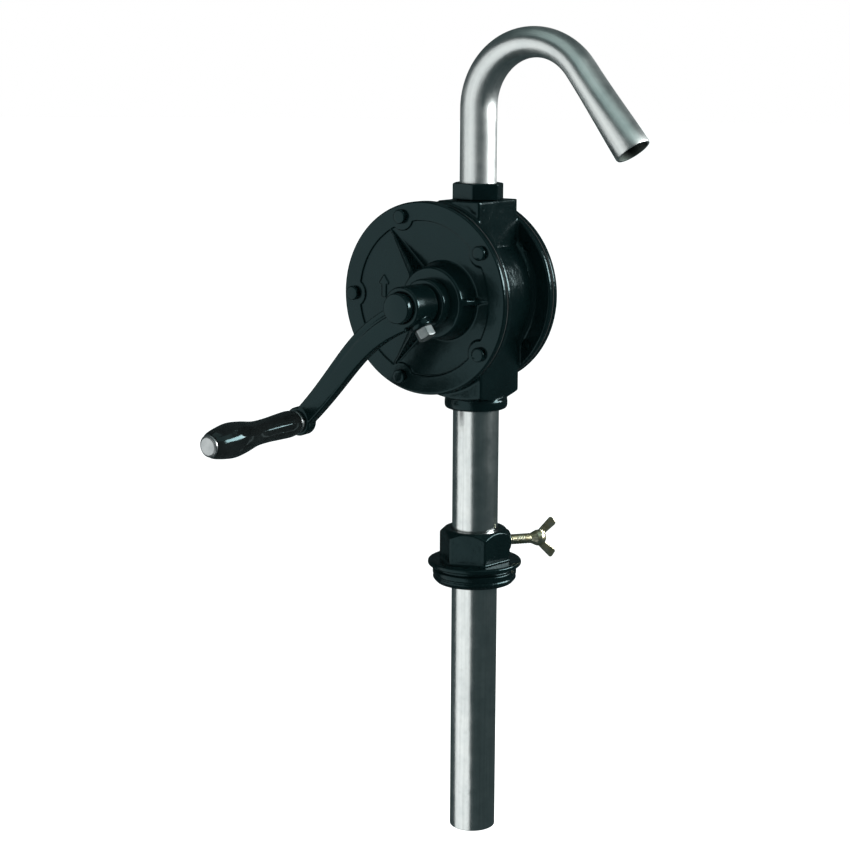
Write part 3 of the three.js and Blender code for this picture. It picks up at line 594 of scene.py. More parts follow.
def make_bung_adapter():
    low, high = BUNG_LOW.z, BUNG_HIGH.z
    collar_r = BUNG_HIGH.x
    thread_r = BUNG_THREAD_R
    relief_r = thread_r - 1.6
    skirt = lathe("skirt", rounded([
        (STEM_BORE_R, low, 0.4), (thread_r - 3, low, 1.8), (thread_r - 0.4, low + 3, 1.4),
        (thread_r, BUNG_GROOVE_Z - 1.1, 0.8), (thread_r - 1.3, BUNG_GROOVE_Z, 0.6),
        (thread_r, BUNG_GROOVE_Z + 1.1, 0.8), (thread_r, -3.3, 0.8), (relief_r, -2.2, 0.5),
        (relief_r, 0, 0.3), (collar_r, 0, 1.7), (collar_r, BUNG_COLLAR_TOP, 1.7),
        (STEM_BORE_R, BUNG_COLLAR_TOP + 0.4, 0),
    ], closed=True), upright())
    facet = math.atan2(CLAMP_AXIS.y, CLAMP_AXIS.x) - math.pi / 6
    hexagonal = prism("hexagonal", hexagon(BUNG_HEX_FLATS, facet, 1.6), 1, high, upright())
    face_r = BUNG_HEX_FLATS / 2 - 1
    corner_r = face_r + BUNG_CHAMFER_RUN
    chamfer = lathe("chamfer", rounded([
        (0, 0, 0), (corner_r, 0, 0), (corner_r, high - BUNG_CHAMFER_RUN, 0),
        (face_r, high, 1.2), (0, high, 0),
    ]), upright())
    clamp = along(CLAMP_AXIS, CLAMP_AT)
    pad = lathe("pad", rod(CLAMP_PAD_R, STEM_BORE_R + 1, CLAMP_PAD_REACH, 1.2), clamp, 48)
    hole = lathe("hole", rod(CLAMP_SHANK_R + 0.2, 10, 40), clamp, 48)
    bore = lathe("bore", rod(STEM_BORE_R, low - 2, high + 2), upright())
    groove = lathe("groove", rod(SEAL_GROOVE_R, *SEAL_GROOVE), upright())
    adapter = combine(skirt, "UNION", [combine(hexagonal, "INTERSECT", [chamfer]), pad])
    combine(adapter, "DIFFERENCE", [bore, groove, hole])
    fit(cast(adapter, 0.5, 7, 0.45), "bung_adapter", ROUGH_PAINT)


def threaded_rings(radius, low, high, pitch, turns=40, steps_a_pitch=8):
    """Rings of a threaded rod: the radius falls and rises once a pitch, and winds round the rod."""
    depth = 0.61 * pitch
    rings = []
    for s in range(int((high - low) / pitch * steps_a_pitch) + 1):
        height = low + s * pitch / steps_a_pitch
        run_out = min(1, (height - low) / pitch, (high - height) / pitch)
        points = []
        for k in range(turns):
            phase = (height / pitch - k / turns) % 1
            crest = 1 - abs(2 * phase - 1)
            r = radius - depth * (1 - min(1, crest * 1.25)) * max(run_out, 0)
            angle = math.tau * k / turns
            points.append(Vector((r * math.cos(angle), r * math.sin(angle), height)))
        rings.append(points)
    return rings


def make_wing_screw():
    place = along(CLAMP_AXIS, CLAMP_AT)
    tip = TUBE_R + GAP
    cone_top = tip + 1.4
    point = lathe("point", rounded([
        (0, tip, 0), (2.6, tip, 0.3), (3.3, cone_top, 0), (0, cone_top, 0),
    ]), place, 40)
    shank_end = CLAMP_SHANK_END
    shank = skin("shank", threaded_rings(CLAMP_SHANK_R, tip + 1, shank_end, CLAMP_PITCH), place)
    head = lathe("head", rounded([
        (0, shank_end - 1, 0), (CLAMP_SHANK_R - 0.4, shank_end - 1, 0), (4.1, shank_end, 0.5),
        (5.9, 48, 1.2), (6.1, 51, 1.6), (4.6, 53.6, 1.2), (2.6, 55, 0.8), (0, 55.6, 0),
    ]), place, 64)
    wing = rounded([
        (0.5, 46.4, 0), (3.0, 46.9, 1.5), (8.1, 51.7, 3), (15.2, 58.5, 0.9), (15.0, 60.2, 0.9),
        (11.0, 62.9, 0.9), (9.4, 62.2, 0.9), (6.4, 58.4, 2.5), (2.6, 53.6, 1.5), (0.5, 53.4, 0),
    ], closed=True)
    # the wings lie in a plane through the screw's axis that stands upright at rest
    plane = place @ Matrix.Rotation(WING_TURN, 4, "Z") @ Matrix.Rotation(math.pi / 2, 4, "X")
    half = WING_THICKNESS / 2
    wings = [
        prism("wing", [(side * x, y) for x, y in wing][::side], -half, half, plane)
        for side in (1, -1)
    ]
    screw = combine(shank, "UNION", [point, head, *wings])
    fit(cast(screw, 0.24, 3, 0.4), "wing_screw", YELLOW_ZINC)


def wing_plane_turn():
    """The turn about the screw's axis that stands the wings' plane upright at rest."""
    place = along(CLAMP_AXIS, CLAMP_AT).to_3x3()
    side = place @ Vector((1, 0, 0))
    lift = place @ Vector((0, 1, 0))
    return math.atan2(lift.z, side.z)


WING_TURN = wing_plane_turn()


# ---- tubes and spout ----------------------------------------------------------------------------

def make_tubes():
    bore = TUBE_R - TUBE_WALL
    outer = ring(bore, TUBE_R, TUBE_LOW.z, TUBE_HIGH.z, 0.7)
    fit(lathe("tube", outer, upright(), 128), "suction_tube", PIPE)
    low, high = corners("inner_suction_tube")
    inner = ring(high.x - INNER_TUBE_WALL, high.x, low.z, high.z, 0.5)
    fit(lathe("tube", inner, upright(), 128), "inner_suction_tube", PIPE)
    for node in ("tube_end_bush", "inner_tube_guide"):
        low, top = corners(node)
        bush = ring(high.x + PLAY, top.x, low.z, top.z, 0.5)
        fit(lathe("bush", bush, upright(), 96), node, ACETAL)


def spout_line():
    """The spout's centreline: (place, angle turned from upright, share of the bend or leg passed)."""
    stops = []
    for z in (SPOUT_FOOT, SPOUT_FOOT + 1, 280, 300, SPOUT_BEND_Z - 12):
        stops.append((Vector((0, 0, z)), 0.0, 0.0))
    for i in range(SPOUT_BEND_STEPS + 1):
        angle = SPOUT_BEND * i / SPOUT_BEND_STEPS
        out = SPOUT_BEND_R * (1 - math.cos(angle))
        up = SPOUT_BEND_R * math.sin(angle)
        stops.append((Vector((out, 0, SPOUT_BEND_Z + up)), angle, i / SPOUT_BEND_STEPS))
    end = stops[-1][0]
    way = Vector((math.sin(SPOUT_BEND), 0, math.cos(SPOUT_BEND)))
    for share in (0.12, 0.25, 0.4, 0.55, 0.7, 0.85, 0.985, 1.0):
        stops.append((end + way * SPOUT_LEG * share, SPOUT_BEND, 1 + share))
    return stops


def flattening(share):
    """How far the bend has squeezed the pipe in its plane: most at the end of the bend."""
    if share <= 1:
        return SPOUT_SQUEEZE * math.sin(share * math.pi / 2) ** 1.2
    left = math.cos((share - 1) * math.pi / 2) ** 1.5
    return SPOUT_SQUEEZE_AT_MOUTH + (SPOUT_SQUEEZE - SPOUT_SQUEEZE_AT_MOUTH) * left


def spout_ring(stop, radius):
    """A ring round a stop, squeezed in the bend's plane."""
    place, angle, share = stop
    way = Vector((math.sin(angle), 0, math.cos(angle)))
    side = Vector((0, 1, 0))
    out = side.cross(way)
    squeeze = flattening(share)
    in_plane = radius - squeeze
    beside = radius + 0.35 * squeeze
    angles = [math.tau * k / SPOUT_TURNS for k in range(SPOUT_TURNS)]
    return [place + out * in_plane * math.cos(a) + side * beside * math.sin(a) for a in angles]


def make_spout():
    stops = spout_line()
    outer = [spout_ring(stop, SPOUT_R) for stop in stops]
    inner = [spout_ring(stop, SPOUT_R - SPOUT_WALL) for stop in stops]
    # the rims are rounded by drawing the two end rings in towards the wall's middle
    for rings, radius in ((outer, SPOUT_R - SPOUT_RIM), (inner, SPOUT_R - SPOUT_WALL + SPOUT_RIM)):
        rings[0] = spout_ring(stops[0], radius)
        rings[-1] = spout_ring(stops[-1], radius)
    lengths = [0.0]
    for before, after in zip(stops, stops[1:]):
        lengths.append(lengths[-1] + (after[0] - before[0]).length)
    angles = [math.tau * k / SPOUT_TURNS for k in range(SPOUT_TURNS)]

    def unbent(radius):
        """The rings as they would stand if the pipe were straight."""
        return [
            [Vector((radius * math.cos(a), radius * math.sin(a), length)) for a in angles]
            for length in lengths
        ]
    rings = outer + inner[::-1]
    straight = unbent(SPOUT_R) + unbent(SPOUT_R - SPOUT_WALL)[::-1]
    spout = fit(skin("spout", rings, upright(), loop=True, straight=straight), "spout", SPOUT_PIPE)
    spout.data.materials.append(PIPE_BORE)
    local = spout.data.attributes["local"].data
    bore = (SPOUT_R - SPOUT_WALL + 0.1) * MM
    for face in spout.data.polygons:
        face.material_index = int(all(local[v].vector.xy.length < bore for v in face.vertices))


def make_outlet_nut():
    low, high = corners("outlet_nut")
    flange = BODY_HIGH.z + GAP
    bore_r = SPOUT_R + PLAY
    hexagonal = prism("hexagonal", hexagon(NUT_FLATS, NUT_TURN, 1.2), flange, high.z, upright())
    chamfer = lathe("chamfer", rounded([
        (0, flange - 1, 0), (30, flange - 1, 0), (30, high.z - 3, 0),
        (NUT_FLATS / 2 - 0.6, high.z, 0.5), (0, high.z, 0),
    ]), upright())
    spigot = lathe("spigot", rod(OUTLET_BORE_R - 0.25, low.z, flange + 1), upright())
    bore = lathe("bore", rod(bore_r, low.z - 2, high.z + 2), upright())
    nut = combine(combine(hexagonal, "INTERSECT", [chamfer]), "UNION", [spigot])
    combine(nut, "DIFFERENCE", [bore])
    fit(cast(nut, 0.4, 5, 0.5), "outlet_nut", PAINT)
    low, high = corners("outlet_seal")
    seal = ring(bore_r, high.x, low.z, high.z, 0.8)
    fit(lathe("seal", seal, upright(), 96), "outlet_seal", RUBBER)


# ---- pump casing --------------------------------------------------------------------------------

def box_outline(half_width, half_height, edge):
    """A rectangle about the origin, with rounded corners."""
    return rounded([
        (-half_width, -half_height, edge), (half_width, -half_height, edge),
        (half_width, half_height, edge), (-half_width, half_height, edge),
    ], closed=True)


def bolt_places():
    """Where the cover bolts stand, from the frame."""
    places = []
    for node in BOLT_NAMES[:BOLT_COUNT]:
        low, high = corners(node)
        places.append(((low.x + high.x) / 2, (low.z + high.z) / 2))
    return places


def bolt_holes(radius, low, high, side=-1, turns=32):
    """A tool at each bolt's place."""
    return [lathe("hole", rod(radius, low, high), facing(side, x, z), turns) for x, z in bolt_places()]


def make_pump_body():
    back = BODY_HALF - FLANGE_THICKNESS
    middle = facing(-1, CASING_X, CASING_Z)
    barrel = lathe("barrel", rounded([
        (BORE_R, -BODY_HALF, 0), (FLANGE_R, -BODY_HALF, 0.9),
        (FLANGE_R, -back, 1.5), (BARREL_R, -back, 4), (BARREL_R, back, 4), (FLANGE_R, back, 1.5),
        (FLANGE_R, BODY_HALF, 0.9), (BORE_R, BODY_HALF, 0),
    ], closed=True), middle, 160)
    above = upright(0, 0, CASING_Z)
    in_y = back + 0.4
    upper = prism("upper", box_outline(UPPER_BLOCK_HALF, in_y, 2.2), 30, PORT_TOP, above)
    lower = prism("lower", box_outline(LOWER_BLOCK_HALF, in_y, 2.2), INLET_COLLAR_TOP, -30, above)
    taper = lathe("taper", rounded([
        (0, INLET_COLLAR_TOP - 0.5, 0), (INLET_COLLAR_R - 1.5, INLET_COLLAR_TOP - 0.5, 0),
        (LOWER_TAPER_R, PORT_BOTTOM + 1, 2), (LOWER_TAPER_R, 0, 0), (0, 0, 0),
    ]), above)
    collar = lathe("collar", rod(INLET_COLLAR_R, INLET_COLLAR_BOTTOM, INLET_COLLAR_TOP + 0.2, 2.6), above)
    body = combine(barrel, "UNION", [upper, combine(lower, "INTERSECT", [taper]), collar])
    passages = [
        lathe("passage", rod(PASSAGE_R, 20, PORT_TOP + 1), above),
        lathe("passage", rod(OUTLET_BORE_R, OUTLET_SEAT, PORT_TOP + 1), above),
        lathe("passage", rod(PASSAGE_R, INLET_COLLAR_BOTTOM - 1, -20), above),
        lathe("passage", rod(INLET_BORE_R, INLET_COLLAR_BOTTOM - 1, TUBE_HIGH.z - CASING_Z + GAP), above),
        lathe("chamber", rod(BORE_R, -BODY_HALF - 1, BODY_HALF + 1), middle, 160),
    ]
    combine(body, "DIFFERENCE", passages + bolt_holes(BOLT_R + PLAY + 0.1, -BODY_HALF - 1, BODY_HALF + 1))
    fit(cast(body, 0.7, 7, 0.5), "pump_body", ROUGH_PAINT)


def rib(angle, place):
    """A wedge from the boss down to the recess, standing along `angle` from the shaft."""
    offset = SHAFT_AT.x - CASING_X
    tip_r = RECESS_R - 0.8
    length = math.sqrt(tip_r ** 2 - (offset * math.sin(angle)) ** 2) - offset * math.cos(angle)
    floor = COVER_FACE - RECESS_DEPTH - 0.6
    top = FRONT_BOSS_FACE - 0.3
    stations = [
        (12, 4.0, top), (BOSS_TOP_R - 1, 3.2, top), (BOSS_TOP_R + 3, 2.9, top - 2.4),
        (length - 5, 1.3, floor + 2.8), (length, 0.8, floor + 1.6),
    ]
    rings = []
    for along_rib, half, high in stations:
        corners_here = ((-half, floor - 1), (half, floor - 1), (0.72 * half, high), (-0.72 * half, high))
        rings.append([Vector((along_rib, across, height)) for across, height in corners_here])
    return skin("rib", rings, place @ Matrix.Rotation(angle, 4, "Z"))


def arrow(place):
    """The raised arrow that shows which way to turn: a stem and a head, drawn as ridges."""
    low = COVER_FACE - RECESS_DEPTH - 0.8
    high = COVER_FACE - RECESS_DEPTH + 1.0
    stem, barb, foot, neck, tip = 1.9, 4.6, -1, 8.5, 15
    outline = rounded([
        (ARROW_X - stem, foot, 0.4), (ARROW_X + stem, foot, 0.4), (ARROW_X + stem, neck, 0.3),
        (ARROW_X + barb, neck, 0.5), (ARROW_X, tip, 0.5), (ARROW_X - barb, neck, 0.5),
        (ARROW_X - stem, neck, 0.3),
    ], closed=True)
    return prism("arrow", outline, low, high, place)


def make_cover(node, side, boss_face):
    """A cover with its recess, scallops and boss. Only the front one has ribs and the arrow."""
    cover_place = facing(side, CASING_X, CASING_Z)
    shaft_place = facing(side, SHAFT_AT.x, SHAFT_AT.z)
    plate = lathe("plate", rounded([
        (0, CHAMBER_HALF, 0), (FLANGE_R, CHAMBER_HALF, 0.5), (FLANGE_R, COVER_FACE, 1.5),
        (0, COVER_FACE, 0),
    ]), cover_place, 160)
    floor = COVER_FACE - RECESS_DEPTH
    recess = lathe("recess", rod(RECESS_R, floor, COVER_FACE + 2), cover_place, 160)
    combine(recess, "DIFFERENCE", bolt_holes(SCALLOP_R, floor - 2, COVER_FACE + 4, side, 64))
    combine(plate, "DIFFERENCE", [recess])
    rise = boss_face - COVER_FACE
    slope = (BOSS_BASE_R - BOSS_TOP_R) * rise / (FRONT_BOSS_FACE - COVER_FACE)
    boss = lathe("boss", rounded([
        (0, CHAMBER_HALF + 0.2, 0), (BOSS_BASE_R + 0.5, CHAMBER_HALF + 0.2, 0),
        (BOSS_BASE_R - slope, boss_face, 2.2), (0, boss_face, 0),
    ]), shaft_place, 128)
    extras = [boss]
    if side < 0:
        extras += [rib(math.radians(a), shaft_place) for a in RIB_ANGLES]
        extras.append(arrow(cover_place))
    combine(plate, "UNION", extras)
    pocket = CHAMBER_HALF + HUB_POCKET_DEPTH
    cuts = [lathe("pocket", rod(HUB_POCKET_R, 0, pocket), shaft_place)]
    if side < 0:
        packing = boss_face - PACKING_DEPTH
        cuts.append(lathe("bush_bore", rod(BUSH_R, 0, packing + 1), shaft_place))
        cuts.append(lathe("packing_bore", rod(PACKING_R, packing, boss_face + 1), shaft_place))
    else:
        cuts.append(lathe("bush_bore", rod(BUSH_R, 0, boss_face - 4), shaft_place))
    combine(plate, "DIFFERENCE", cuts + bolt_holes(BOLT_R + PLAY + 0.1, 0, COVER_FACE + 2, side))
    fit(cast(plate, 0.5, 6, 0.4), node, PAINT)


def make_gaskets():
    for node, side in (("front_gasket", -1), ("rear_gasket", 1)):
        low, high = corners(node)
        near, far = sorted((abs(low.y), abs(high.y)))
        outline = ring(BORE_R + 0.6, FLANGE_R - 0.4, near, far)
        gasket = lathe("gasket", outline, facing(side, CASING_X, CASING_Z), 160)
        combine(gasket, "DIFFERENCE", bolt_holes(BOLT_R + 0.4, near - 1, far + 1, side))
        fit(gasket, node, FIBRE)


def make_bolts():
    for node in BOLT_NAMES:
        low, high = corners(node)
        side = -1 if node.startswith("front") else 1
        end, top = sorted((abs(low.y), abs(high.y)))
        seat = COVER_FACE + 0.15
        outline = rounded([
            (0, end, 0), (BOLT_R, end, 0.5), (BOLT_R, seat, 0), (BOLT_HEAD_R, seat, 0.2),
            (BOLT_HEAD_R, top - 0.3, 1.5), (BOLT_HEAD_R - 2.4, top, 1.5), (0, top, 0),
        ])
        place = facing(side, (low.x + high.x) / 2, (low.z + high.z) / 2)
        fit(lathe("bolt", outline, place, 48), node, PAINT)


def make_shaft_seals():
    for node, bore, outside, material, edge in (
        ("front_bush", SHAFT_R, BUSH_R - PLAY, BRONZE, 0.4),
        ("rear_bush", REAR_JOURNAL_R, BUSH_R - PLAY, BRONZE, 0.4),
        ("packing_ring_1", SHAFT_R, PACKING_R - 0.2, FIBRE, 0.7),
        ("packing_ring_2", SHAFT_R, PACKING_R - 0.2, FIBRE, 0.7),
    ):
        low, high = corners(node)
        side = 1 if node == "rear_bush" else -1
        near, far = sorted((abs(low.y), abs(high.y)))
        place = facing(side, SHAFT_AT.x, SHAFT_AT.z)
        fit(lathe(node, ring(bore + PLAY, outside, near, far, edge), place, 96), node, material)
    low, high = corners("gland_nut")
    face, nose = -low.y, -high.y
    bore = SHAFT_R + PLAY
    outside = PACKING_R - 0.2
    gland = rounded([
        (bore, nose, 0.2), (outside, nose, 0.4), (outside, FRONT_BOSS_FACE + GAP, 0.2),
        (GLAND_R, FRONT_BOSS_FACE + GAP, 0.5), (GLAND_R, face, 1.6), (bore, face, 0.4),
    ], closed=True)
    fit(lathe("gland", gland, facing(-1, SHAFT_AT.x, SHAFT_AT.z), 128), "gland_nut", PAINT)


# ---- rotor and vanes ----------------------------------------------------------------------------

def make_rotor():
    low, high = corners("rotor_shaft")
    flange = ROTOR_HALF + ROTOR_FLANGE_THICKNESS
    # heights count towards the crank, so the blind rear journal comes first
    outline = rounded([
        (0, -high.y, 0), (REAR_JOURNAL_R, -high.y, 0.8), (REAR_JOURNAL_R, -flange, 0.3),
        (ROTOR_FLANGE_R, -flange, 0.5), (ROTOR_FLANGE_R, -ROTOR_HALF, 0), (ROTOR_R, -ROTOR_HALF, 0.3),
        (ROTOR_R, ROTOR_HALF, 0.3), (ROTOR_FLANGE_R, ROTOR_HALF, 0), (ROTOR_FLANGE_R, flange, 0.5),
        (SHAFT_R, flange, 0.3), (SHAFT_R, HUB_FRONT, 0), (SHAFT_R, -low.y, 1.3), (0, -low.y, 0),
    ])
    place = facing(-1, SHAFT_AT.x, SHAFT_AT.z)
    rotor = lathe("rotor", outline, place, 128)
    slot = prism("slot", box_outline(VANE_SLOT_HALF, ROTOR_R + 1, 0), -ROTOR_HALF, ROTOR_HALF, place)
    combine(rotor, "DIFFERENCE", [slot])
    fit(rotor, "rotor_shaft", IRON)
    rotor.data.materials.append(PAINT)
    for face in rotor.data.polygons:
        face.material_index = 1 if face.center.y < -HUB_FRONT * MM + 1e-4 else 0


def make_vanes():
    for node, up in (("upper_vane", 1), ("lower_vane", -1)):
        low, high = corners(node)
        half = (high.x - low.x) / 2
        near, far = sorted((abs(low.z - SHAFT_AT.z), abs(high.z - SHAFT_AT.z)))
        outline = rounded([
            (-half, near, 0.4), (half, near, 0.4), (half, far, half - 0.01), (-half, far, half - 0.01),
        ], closed=True, steps=10)
        place = facing(-1, SHAFT_AT.x, SHAFT_AT.z) @ Matrix.Rotation(0 if up > 0 else math.pi, 4, "Z")
        fit(prism("vane", outline, low.y, high.y, place), node, ACETAL)
    low, high = corners("vane_roller")
    radius = (high.x - low.x) / 2
    place = facing(-1, SHAFT_AT.x, SHAFT_AT.z)
    fit(lathe("roller", rod(radius, low.y, high.y, 0.5), place, 64), "vane_roller", STEEL)


# ---- crank and grip -----------------------------------------------------------------------------

def arm_line(steps=44):
    """The arm's centreline, a cubic curve from the shaft's axis out to the grip's pin."""
    x, z = SHAFT_AT.x, SHAFT_AT.z
    start = Vector((x, ARM_Y_AT_HUB, z - ARM_ROOT_DROP))
    leave = Vector((x + ARM_LEAVE[0], ARM_Y_AT_HUB, z + ARM_LEAVE[1]))
    arrive = Vector((x + ARM_ARRIVE[0], GRIP_AT.y, z + ARM_ARRIVE[1]))
    points = []
    for k in range(steps + 1):
        t = k / steps
        s = 1 - t
        points.append(s ** 3 * start + 3 * s * s * t * leave + 3 * s * t * t * arrive + t ** 3 * GRIP_AT)
    return points


def arm_rings():
    """Sections along the arm: a bar with a groove inside its upper edge that runs out halfway."""
    points = arm_line()
    out = Vector((0, -1, 0))
    rings = []
    for i, point in enumerate(points):
        before = points[max(i - 1, 0)]
        after = points[min(i + 1, len(points) - 1)]
        way = (after - before).normalized()
        across = way.cross(out).normalized()
        share = i / (len(points) - 1)
        half = (ARM_WIDTHS[0] + (ARM_WIDTHS[1] - ARM_WIDTHS[0]) * share) / 2
        depth = (ARM_DEPTHS[0] + (ARM_DEPTHS[1] - ARM_DEPTHS[0]) * share) / 2
        groove = 0.05 + 1.3 * max(0, 1 - 1.4 * share)
        section = rounded([
            (-half, -depth, 1.6), (half, -depth, 1.6), (half, depth, 1.3), (half - 3.3, depth, 0.4),
            (half - 4.6, depth - groove, 0.3), (half - 6.2, depth, 0.5), (-half, depth, 1.5),
        ], closed=True, steps=3)
        rings.append([point + across * u + out * v for u, v in section])
    return rings


def grip_place():
    """Local Z points along the grip's pin, away from the arm."""
    return along(GRIP_AXIS, GRIP_AT)


def make_crank():
    shaft = facing(-1, SHAFT_AT.x, SHAFT_AT.z)
    hub = lathe("hub", rod(HUB_R, HUB_BACK, HUB_FRONT, 1.6), shaft)
    end = lathe("end", rod(END_BOSS_R, -END_BOSS_HALF, END_BOSS_HALF, 1.3), grip_place())
    screw_axis = Vector((math.cos(SET_SCREW_ANGLE), 0, math.sin(SET_SCREW_ANGLE)))
    screw_at = Vector((SHAFT_AT.x, SET_SCREW_Y, SHAFT_AT.z))
    screw_place = along(screw_axis, screw_at)
    pad = lathe("pad", rod(SCREW_PAD_R, 8, SCREW_PAD_TOP, 1.4), screw_place)
    arm = combine(skin("arm", arm_rings(), upright()), "UNION", [hub, end, pad])
    clear = END_BOSS_HALF + 6
    combine(arm, "DIFFERENCE", [
        lathe("bore", rod(SHAFT_R + PLAY + 0.1, HUB_BACK - 1, HUB_FRONT + 1), shaft),
        lathe("screw_hole", rod(SET_SCREW_R + 0.3, 0, 2 * HUB_R), screw_place, 48),
        lathe("pin_hole", rod(GRIP_PIN_R + PLAY + 0.1, -clear, clear), grip_place(), 48),
        lathe("face", rod(END_BOSS_R + 3, END_BOSS_HALF, clear), grip_place()),
        lathe("face", rod(END_BOSS_R + 3, -clear, -END_BOSS_HALF), grip_place()),
    ])
    fit(cast(arm, 0.45, 8, 0.45), "crank_arm", PAINT)

    head = SCREW_PAD_TOP + GAP
    top = head + SET_SCREW_HEAD
    screw = lathe("screw", rod(SET_SCREW_R, SHAFT_R + GAP, head + 1, 0.4), screw_place, 48)
    hexagonal = prism("hexagonal", hexagon(SET_SCREW_FLATS, math.radians(10), 0.5), head, top, screw_place)
    chamfer = lathe("chamfer", rounded([
        (0, head, 0), (7.6, head, 0), (7.6, top - 1.6, 0), (5.5, top, 0.4), (0, top, 0),
    ]), screw_place, 64)
    combine(screw, "UNION", [combine(hexagonal, "INTERSECT", [chamfer])])
    fit(cast(screw, 0.22, 4, 0.5), "crank_set_screw", GREY_ZINC)


def smooth_line(marks, steps=6):
    """A Catmull-Rom curve through (x, y) marks."""
    ends = [marks[0], *marks, marks[-1]]
    points = []
    for a, b, c, d in zip(ends, ends[1:], ends[2:], ends[3:]):
        for k in range(steps):
            t = k / steps
            points.append(tuple(
                0.5 * (2 * q + (r - p) * t + (2 * p - 5 * q + 4 * r - s) * t * t
                       + (3 * q - p - 3 * r + s) * t ** 3)
                for p, q, r, s in zip(a, b, c, d)
            ))
    return points + [marks[-1]]


def make_grip():
    place = grip_place()
    washer_low = END_BOSS_HALF + GAP
    washer_top = washer_low + GRIP_WASHER_THICKNESS
    start = washer_top + GAP
    end = start + GRIP_LENGTH
    bore = GRIP_PIN_R + PLAY
    washer = ring(bore, GRIP_WASHER_R, washer_low, washer_top, 0.5)
    fit(lathe("washer", washer, place, 64), "grip_washer", BRIGHT_ZINC)
    swell = smooth_line([
        (8.0, start + 0.2), (8.9, start + 1.0), (9.6, start + 6.4), (9.2, start + 17), (8.6, start + 30),
        (8.9, start + 42), (11.2, start + 54.5), (12.4, start + 65), (11.6, start + 73.5),
        (9.9, start + 82), (8.6, end - 0.6),
    ])
    profile = [(bore, start), (7.6, start), *swell, (8.1, end), (bore, end)]
    fit(lathe("grip", profile, place, 96), "grip", MOULDING)
    head = end + GAP
    back = -END_BOSS_HALF - GAP
    pin = rounded([
        (0, back - 2.2, 0), (4.8, back - 2.2, 1), (6.4, back - 1, 0.5), (6.4, back, 0.2),
        (GRIP_PIN_R, back, 0), (GRIP_PIN_R, head, 0), (GRIP_PIN_HEAD_R, head, 0.3),
        (GRIP_PIN_HEAD_R, head + 1.3, 0.8), (GRIP_PIN_HEAD_R - 1.8, head + 2.6, 0.8), (0, head + 2.6, 0),
    ])
    fit(lathe("pin", pin, place, 64), "grip_pin", BRIGHT_ZINC)


def make_seal_ring():
    low, high = corners("bung_seal_ring")
    seal = ring(TUBE_R + PLAY, SEAL_GROOVE_R - GAP, low.z, high.z, 1.2)
    fit(lathe("seal", seal, upright(), 96), "bung_seal_ring", RUBBER)


# ---- floor, lights and camera -------------------------------------------------------------------

def flat(name, colour, rough):
    """A plain matt material for the floor."""
    look = Look(name, Roughness=rough, Specular_IOR_Level=0)
    lighter = tuple(1.01 * c for c in colour)
    look.colour(look.ramp(look.noise(look.place(), 3), [(0.3, colour), (0.7, lighter)]))
    return look.material


def make_floor():
    """The floor lies below both tubes' reach, because the pump hangs in its drum."""
    bm = bmesh.new()
    bmesh.ops.create_circle(bm, cap_ends=True, segments=96, radius=30)
    floor = link("floor", bm)
    floor.location.z = (TUBE_LOW.z - TUBE_DROP - FLOOR_GAP) * MM
    floor.data.materials.append(flat("pale_floor", (0.86, 0.86, 0.86), 0.7))
    floor.visible_glossy = False
    floor.visible_shadow = False  # the key light reaches below the floor, for the tube's long streak


def towards(azimuth, elevation):
    """A direction from the pump: azimuth 0 is the -Y side, and a quarter turn is the +X side."""
    level = math.cos(elevation)
    return Vector((math.sin(azimuth) * level, -math.cos(azimuth) * level, math.sin(elevation)))


def light(name, azimuth, elevation, distance, size, power, colour=(1, 1, 1)):
    """A soft rectangular light that faces the pump: degrees, metres and watts."""
    data = bpy.data.lights.new(name, "AREA")
    data.shape = "RECTANGLE"
    data.size, data.size_y = size
    data.energy = power
    data.color = colour
    lamp = bpy.data.objects.new(name, data)
    bpy.context.scene.collection.objects.link(lamp)
    back = towards(math.radians(azimuth), math.radians(elevation))
    lamp.location = CAMERA_TARGET * MM + back * distance
    lamp.rotation_euler = back.to_track_quat("Z", "Y").to_euler()


def make_lights():
    light("key", -26, -13, 1.75, (2.75, 2.8), 22.5)
    light("top", 0, 82, 1.9, (1.6, 1.6), 3, (0.82, 1, 0.97))
    light("spout_fill", 75, 46, 1.7, (2.0, 1.0), 2.6, (0.76, 1, 0.97))
    light("back_right", 122, 17.5, 1.6, (1.05, 0.5), 32)


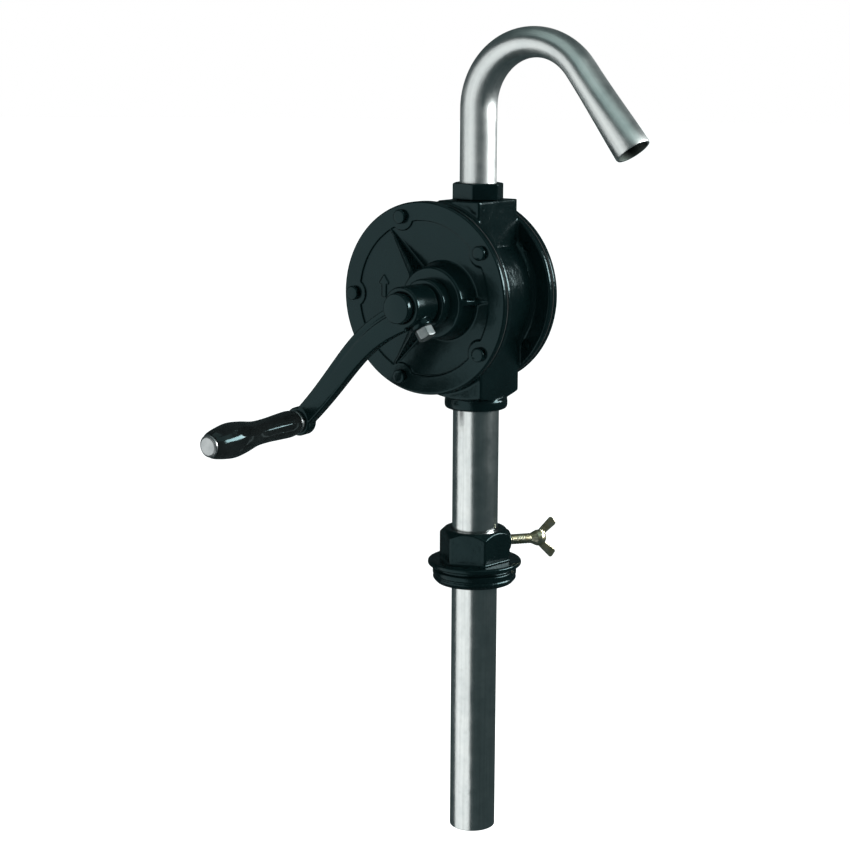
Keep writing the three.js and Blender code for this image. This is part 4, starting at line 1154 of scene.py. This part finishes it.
def make_world():
    """White to the eye, and dim to the object, so that dark gloss keeps its depth."""
    world = bpy.data.worlds.new("studio")
    bpy.context.scene.world = world
    world.use_nodes = True
    nodes, links = world.node_tree.nodes, world.node_tree.links
    nodes.clear()
    path = nodes.new("ShaderNodeLightPath")
    out = nodes.new("ShaderNodeOutputWorld")

    def background(colour, strength):
        """A plain surround of one colour."""
        node = nodes.new("ShaderNodeBackground")
        node.inputs["Color"].default_value = (*colour, 1)
        node.inputs["Strength"].default_value = strength
        return node.outputs["Background"]

    def choose(ray, otherwise, then):
        """The second surround for that kind of ray, and the first for any other."""
        node = nodes.new("ShaderNodeMixShader")
        links.new(path.outputs[ray], node.inputs["Fac"])
        links.new(otherwise, node.inputs[1])
        links.new(then, node.inputs[2])
        return node.outputs["Shader"]

    fill = background((0.97, 1, 1), 1.3)
    mirror = background((0.65, 0.95, 1), 0.05)
    shown = background((1, 1, 1), 1.0)
    lit = choose("Is Glossy Ray", fill, mirror)
    links.new(choose("Is Camera Ray", lit, shown), out.inputs["Surface"])


def make_camera():
    back = towards(CAMERA_AZIMUTH, CAMERA_ELEVATION)
    right = Vector((math.cos(CAMERA_AZIMUTH), math.sin(CAMERA_AZIMUTH), 0))
    up = back.cross(right)
    turned_right = right * math.cos(CAMERA_ROLL) + up * math.sin(CAMERA_ROLL)
    turned_up = up * math.cos(CAMERA_ROLL) - right * math.sin(CAMERA_ROLL)
    data = bpy.data.cameras.new("camera")
    data.lens = CAMERA_LENS
    data.sensor_width = 36
    data.shift_x, data.shift_y = CAMERA_SHIFT
    data.clip_end = 100
    camera = bpy.data.objects.new("camera", data)
    bpy.context.scene.collection.objects.link(camera)
    place = (CAMERA_TARGET + back * CAMERA_DISTANCE) * MM
    turn = Matrix((turned_right, turned_up, back)).transposed().to_4x4()
    camera.matrix_world = Matrix.Translation(place) @ turn
    bpy.context.scene.camera = camera


# ---- the scene ----------------------------------------------------------------------------------

make_camera()
make_world()
make_lights()
make_floor()
bpy.context.scene.view_settings.view_transform = "Standard"

make_bung_adapter()
make_seal_ring()
make_wing_screw()
make_tubes()
make_spout()
make_outlet_nut()
make_pump_body()
make_cover("front_cover", -1, FRONT_BOSS_FACE)
make_cover("rear_cover", 1, REAR_BOSS_FACE)
make_gaskets()
make_bolts()
make_shaft_seals()
make_rotor()
make_vanes()
make_crank()
make_grip()
